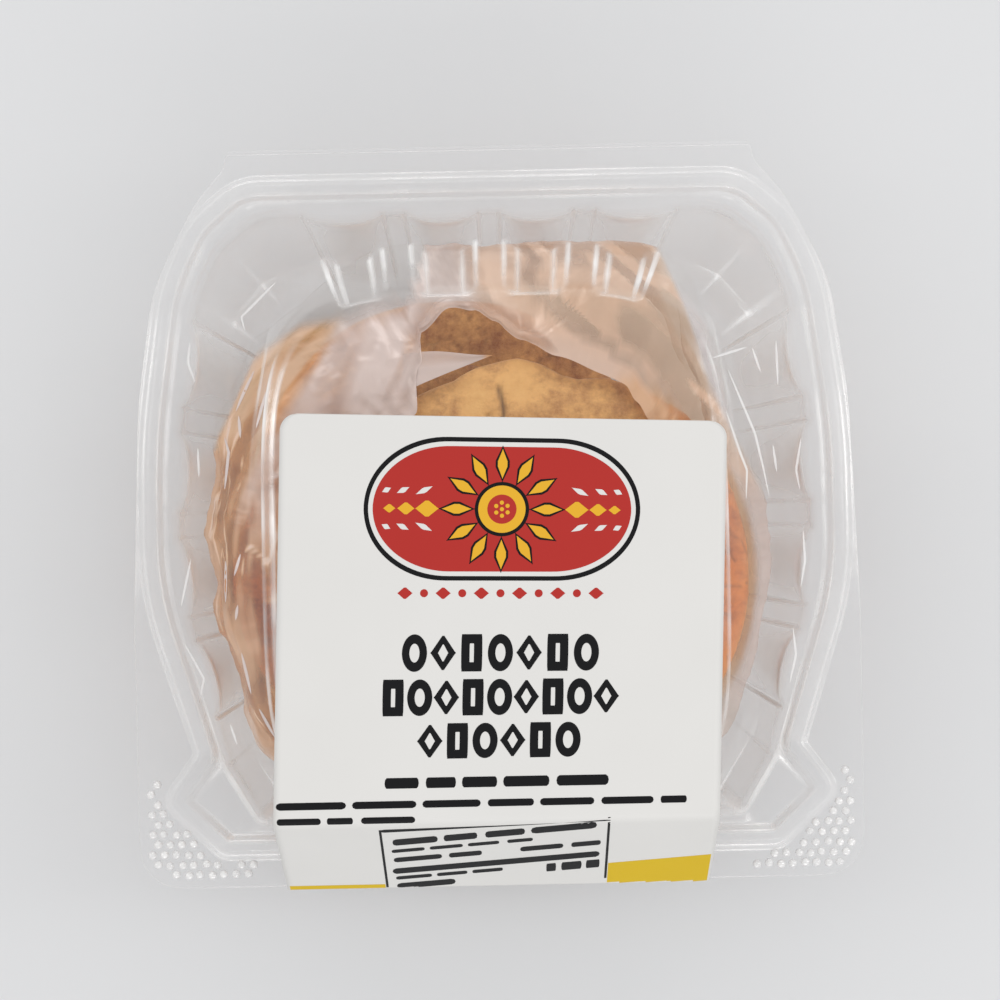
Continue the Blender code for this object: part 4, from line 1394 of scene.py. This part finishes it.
class BuildStage(bpy.types.Operator):
    """Lays a plain pale floor and sets soft studio lights and the camera straight above."""

    bl_idname = "macaroon_pack.stage"
    bl_label = "Stage"

    def execute(self, context):
        scene = context.scene
        floor_finish, tree, output = new_material("pale_floor")
        shader = put(tree, "ShaderNodeBsdfPrincipled", Base_Color=(0.675, 0.68, 0.685, 1), Roughness=0.7)
        tree.links.new(shader.outputs[0], output.inputs[0])
        size, below = 3000.0, -0.05
        corners = [(-size, -size, below), (size, -size, below), (size, size, below), (-size, size, below)]
        add_piece("floor", np.array(corners), [(0, 1, 2, 3)], floor_finish, None)
        world = bpy.data.worlds.new("studio")
        world.use_nodes = True
        sky = world.node_tree.nodes["Background"]
        sky.inputs["Color"].default_value = (0.97, 0.97, 0.98, 1)
        sky.inputs["Strength"].default_value = 0.75
        scene.world = world
        for name, place, size, power in (
            ("left_box", (-0.62, 0.10, 0.50), (0.14, 0.70), 0.8),
            ("right_box", (0.62, 0.05, 0.50), (0.14, 0.70), 1.1),
            ("back_box", (0.0, 0.66, 0.50), (0.70, 0.12), 1.2),
            ("front_box", (0.1, -0.70, 0.50), (0.60, 0.14), 1.5),
        ):
            light = bpy.data.lights.new(name, "AREA")
            light.shape = "RECTANGLE"
            light.size, light.size_y = size
            light.energy = power
            lamp = bpy.data.objects.new(name, light)
            lamp.location = place
            aim = Vector((0, 0, 0.04)) - lamp.location
            lamp.rotation_euler = aim.to_track_quat("-Z", "Y").to_euler()
            scene.collection.objects.link(lamp)
        lens = bpy.data.cameras.new("camera")
        lens.lens = 79.2
        lens.sensor_width = 36.0
        lens.clip_start = 0.01
        camera = bpy.data.objects.new("camera", lens)
        camera.location = (EYE[0] * MM, (EYE[1] + CENTRE_Y) * MM, EYE[2] * MM)
        camera.rotation_euler = (0.0, 0.0, math.radians(-1.2))
        scene.collection.objects.link(camera)
        scene.camera = camera
        scene.view_settings.view_transform = "Standard"
        return {"FINISHED"}


OPERATORS = (
    BuildStage,
    BuildTray,
    BuildLid,
    BuildCornerDots,
    BuildHinge,
    BuildLabel,
    BuildPrint,
    BuildMacaroons,
    BuildFilm,
)


class PackPanel(bpy.types.Panel):
    """Lists the pieces of the pack in the sidebar."""

    bl_idname = "VIEW3D_PT_macaroon_pack"
    bl_label = "Macaroon pack"
    bl_space_type = "VIEW_3D"
    bl_region_type = "UI"
    bl_category = "Macaroon pack"

    def draw(self, context):
        for key in PackLooks.__annotations__:
            self.layout.prop(context.scene.macaroon_pack, key)
        for operator in OPERATORS:
            self.layout.operator(operator.bl_idname)


def register():
    """Makes the classes and the scene's own settings known to Blender."""
    for each in (PackLooks, *OPERATORS, PackPanel):
        bpy.utils.register_class(each)
    bpy.types.Scene.macaroon_pack = bpy.props.PointerProperty(type=PackLooks)


def unregister():
    """Takes them away again."""
    del bpy.types.Scene.macaroon_pack
    for each in reversed((PackLooks, *OPERATORS, PackPanel)):
        bpy.utils.unregister_class(each)


def main():
    """Builds every piece in order."""
    register()
    bpy.ops.macaroon_pack.stage()
    bpy.ops.macaroon_pack.tray()
    bpy.ops.macaroon_pack.lid()
    bpy.ops.macaroon_pack.corner_dots()
    bpy.ops.macaroon_pack.hinge()
    bpy.ops.macaroon_pack.label()
    bpy.ops.macaroon_pack.print()
    bpy.ops.macaroon_pack.macaroons()
    bpy.ops.macaroon_pack.film()


if __name__ == "__main__":
    main()
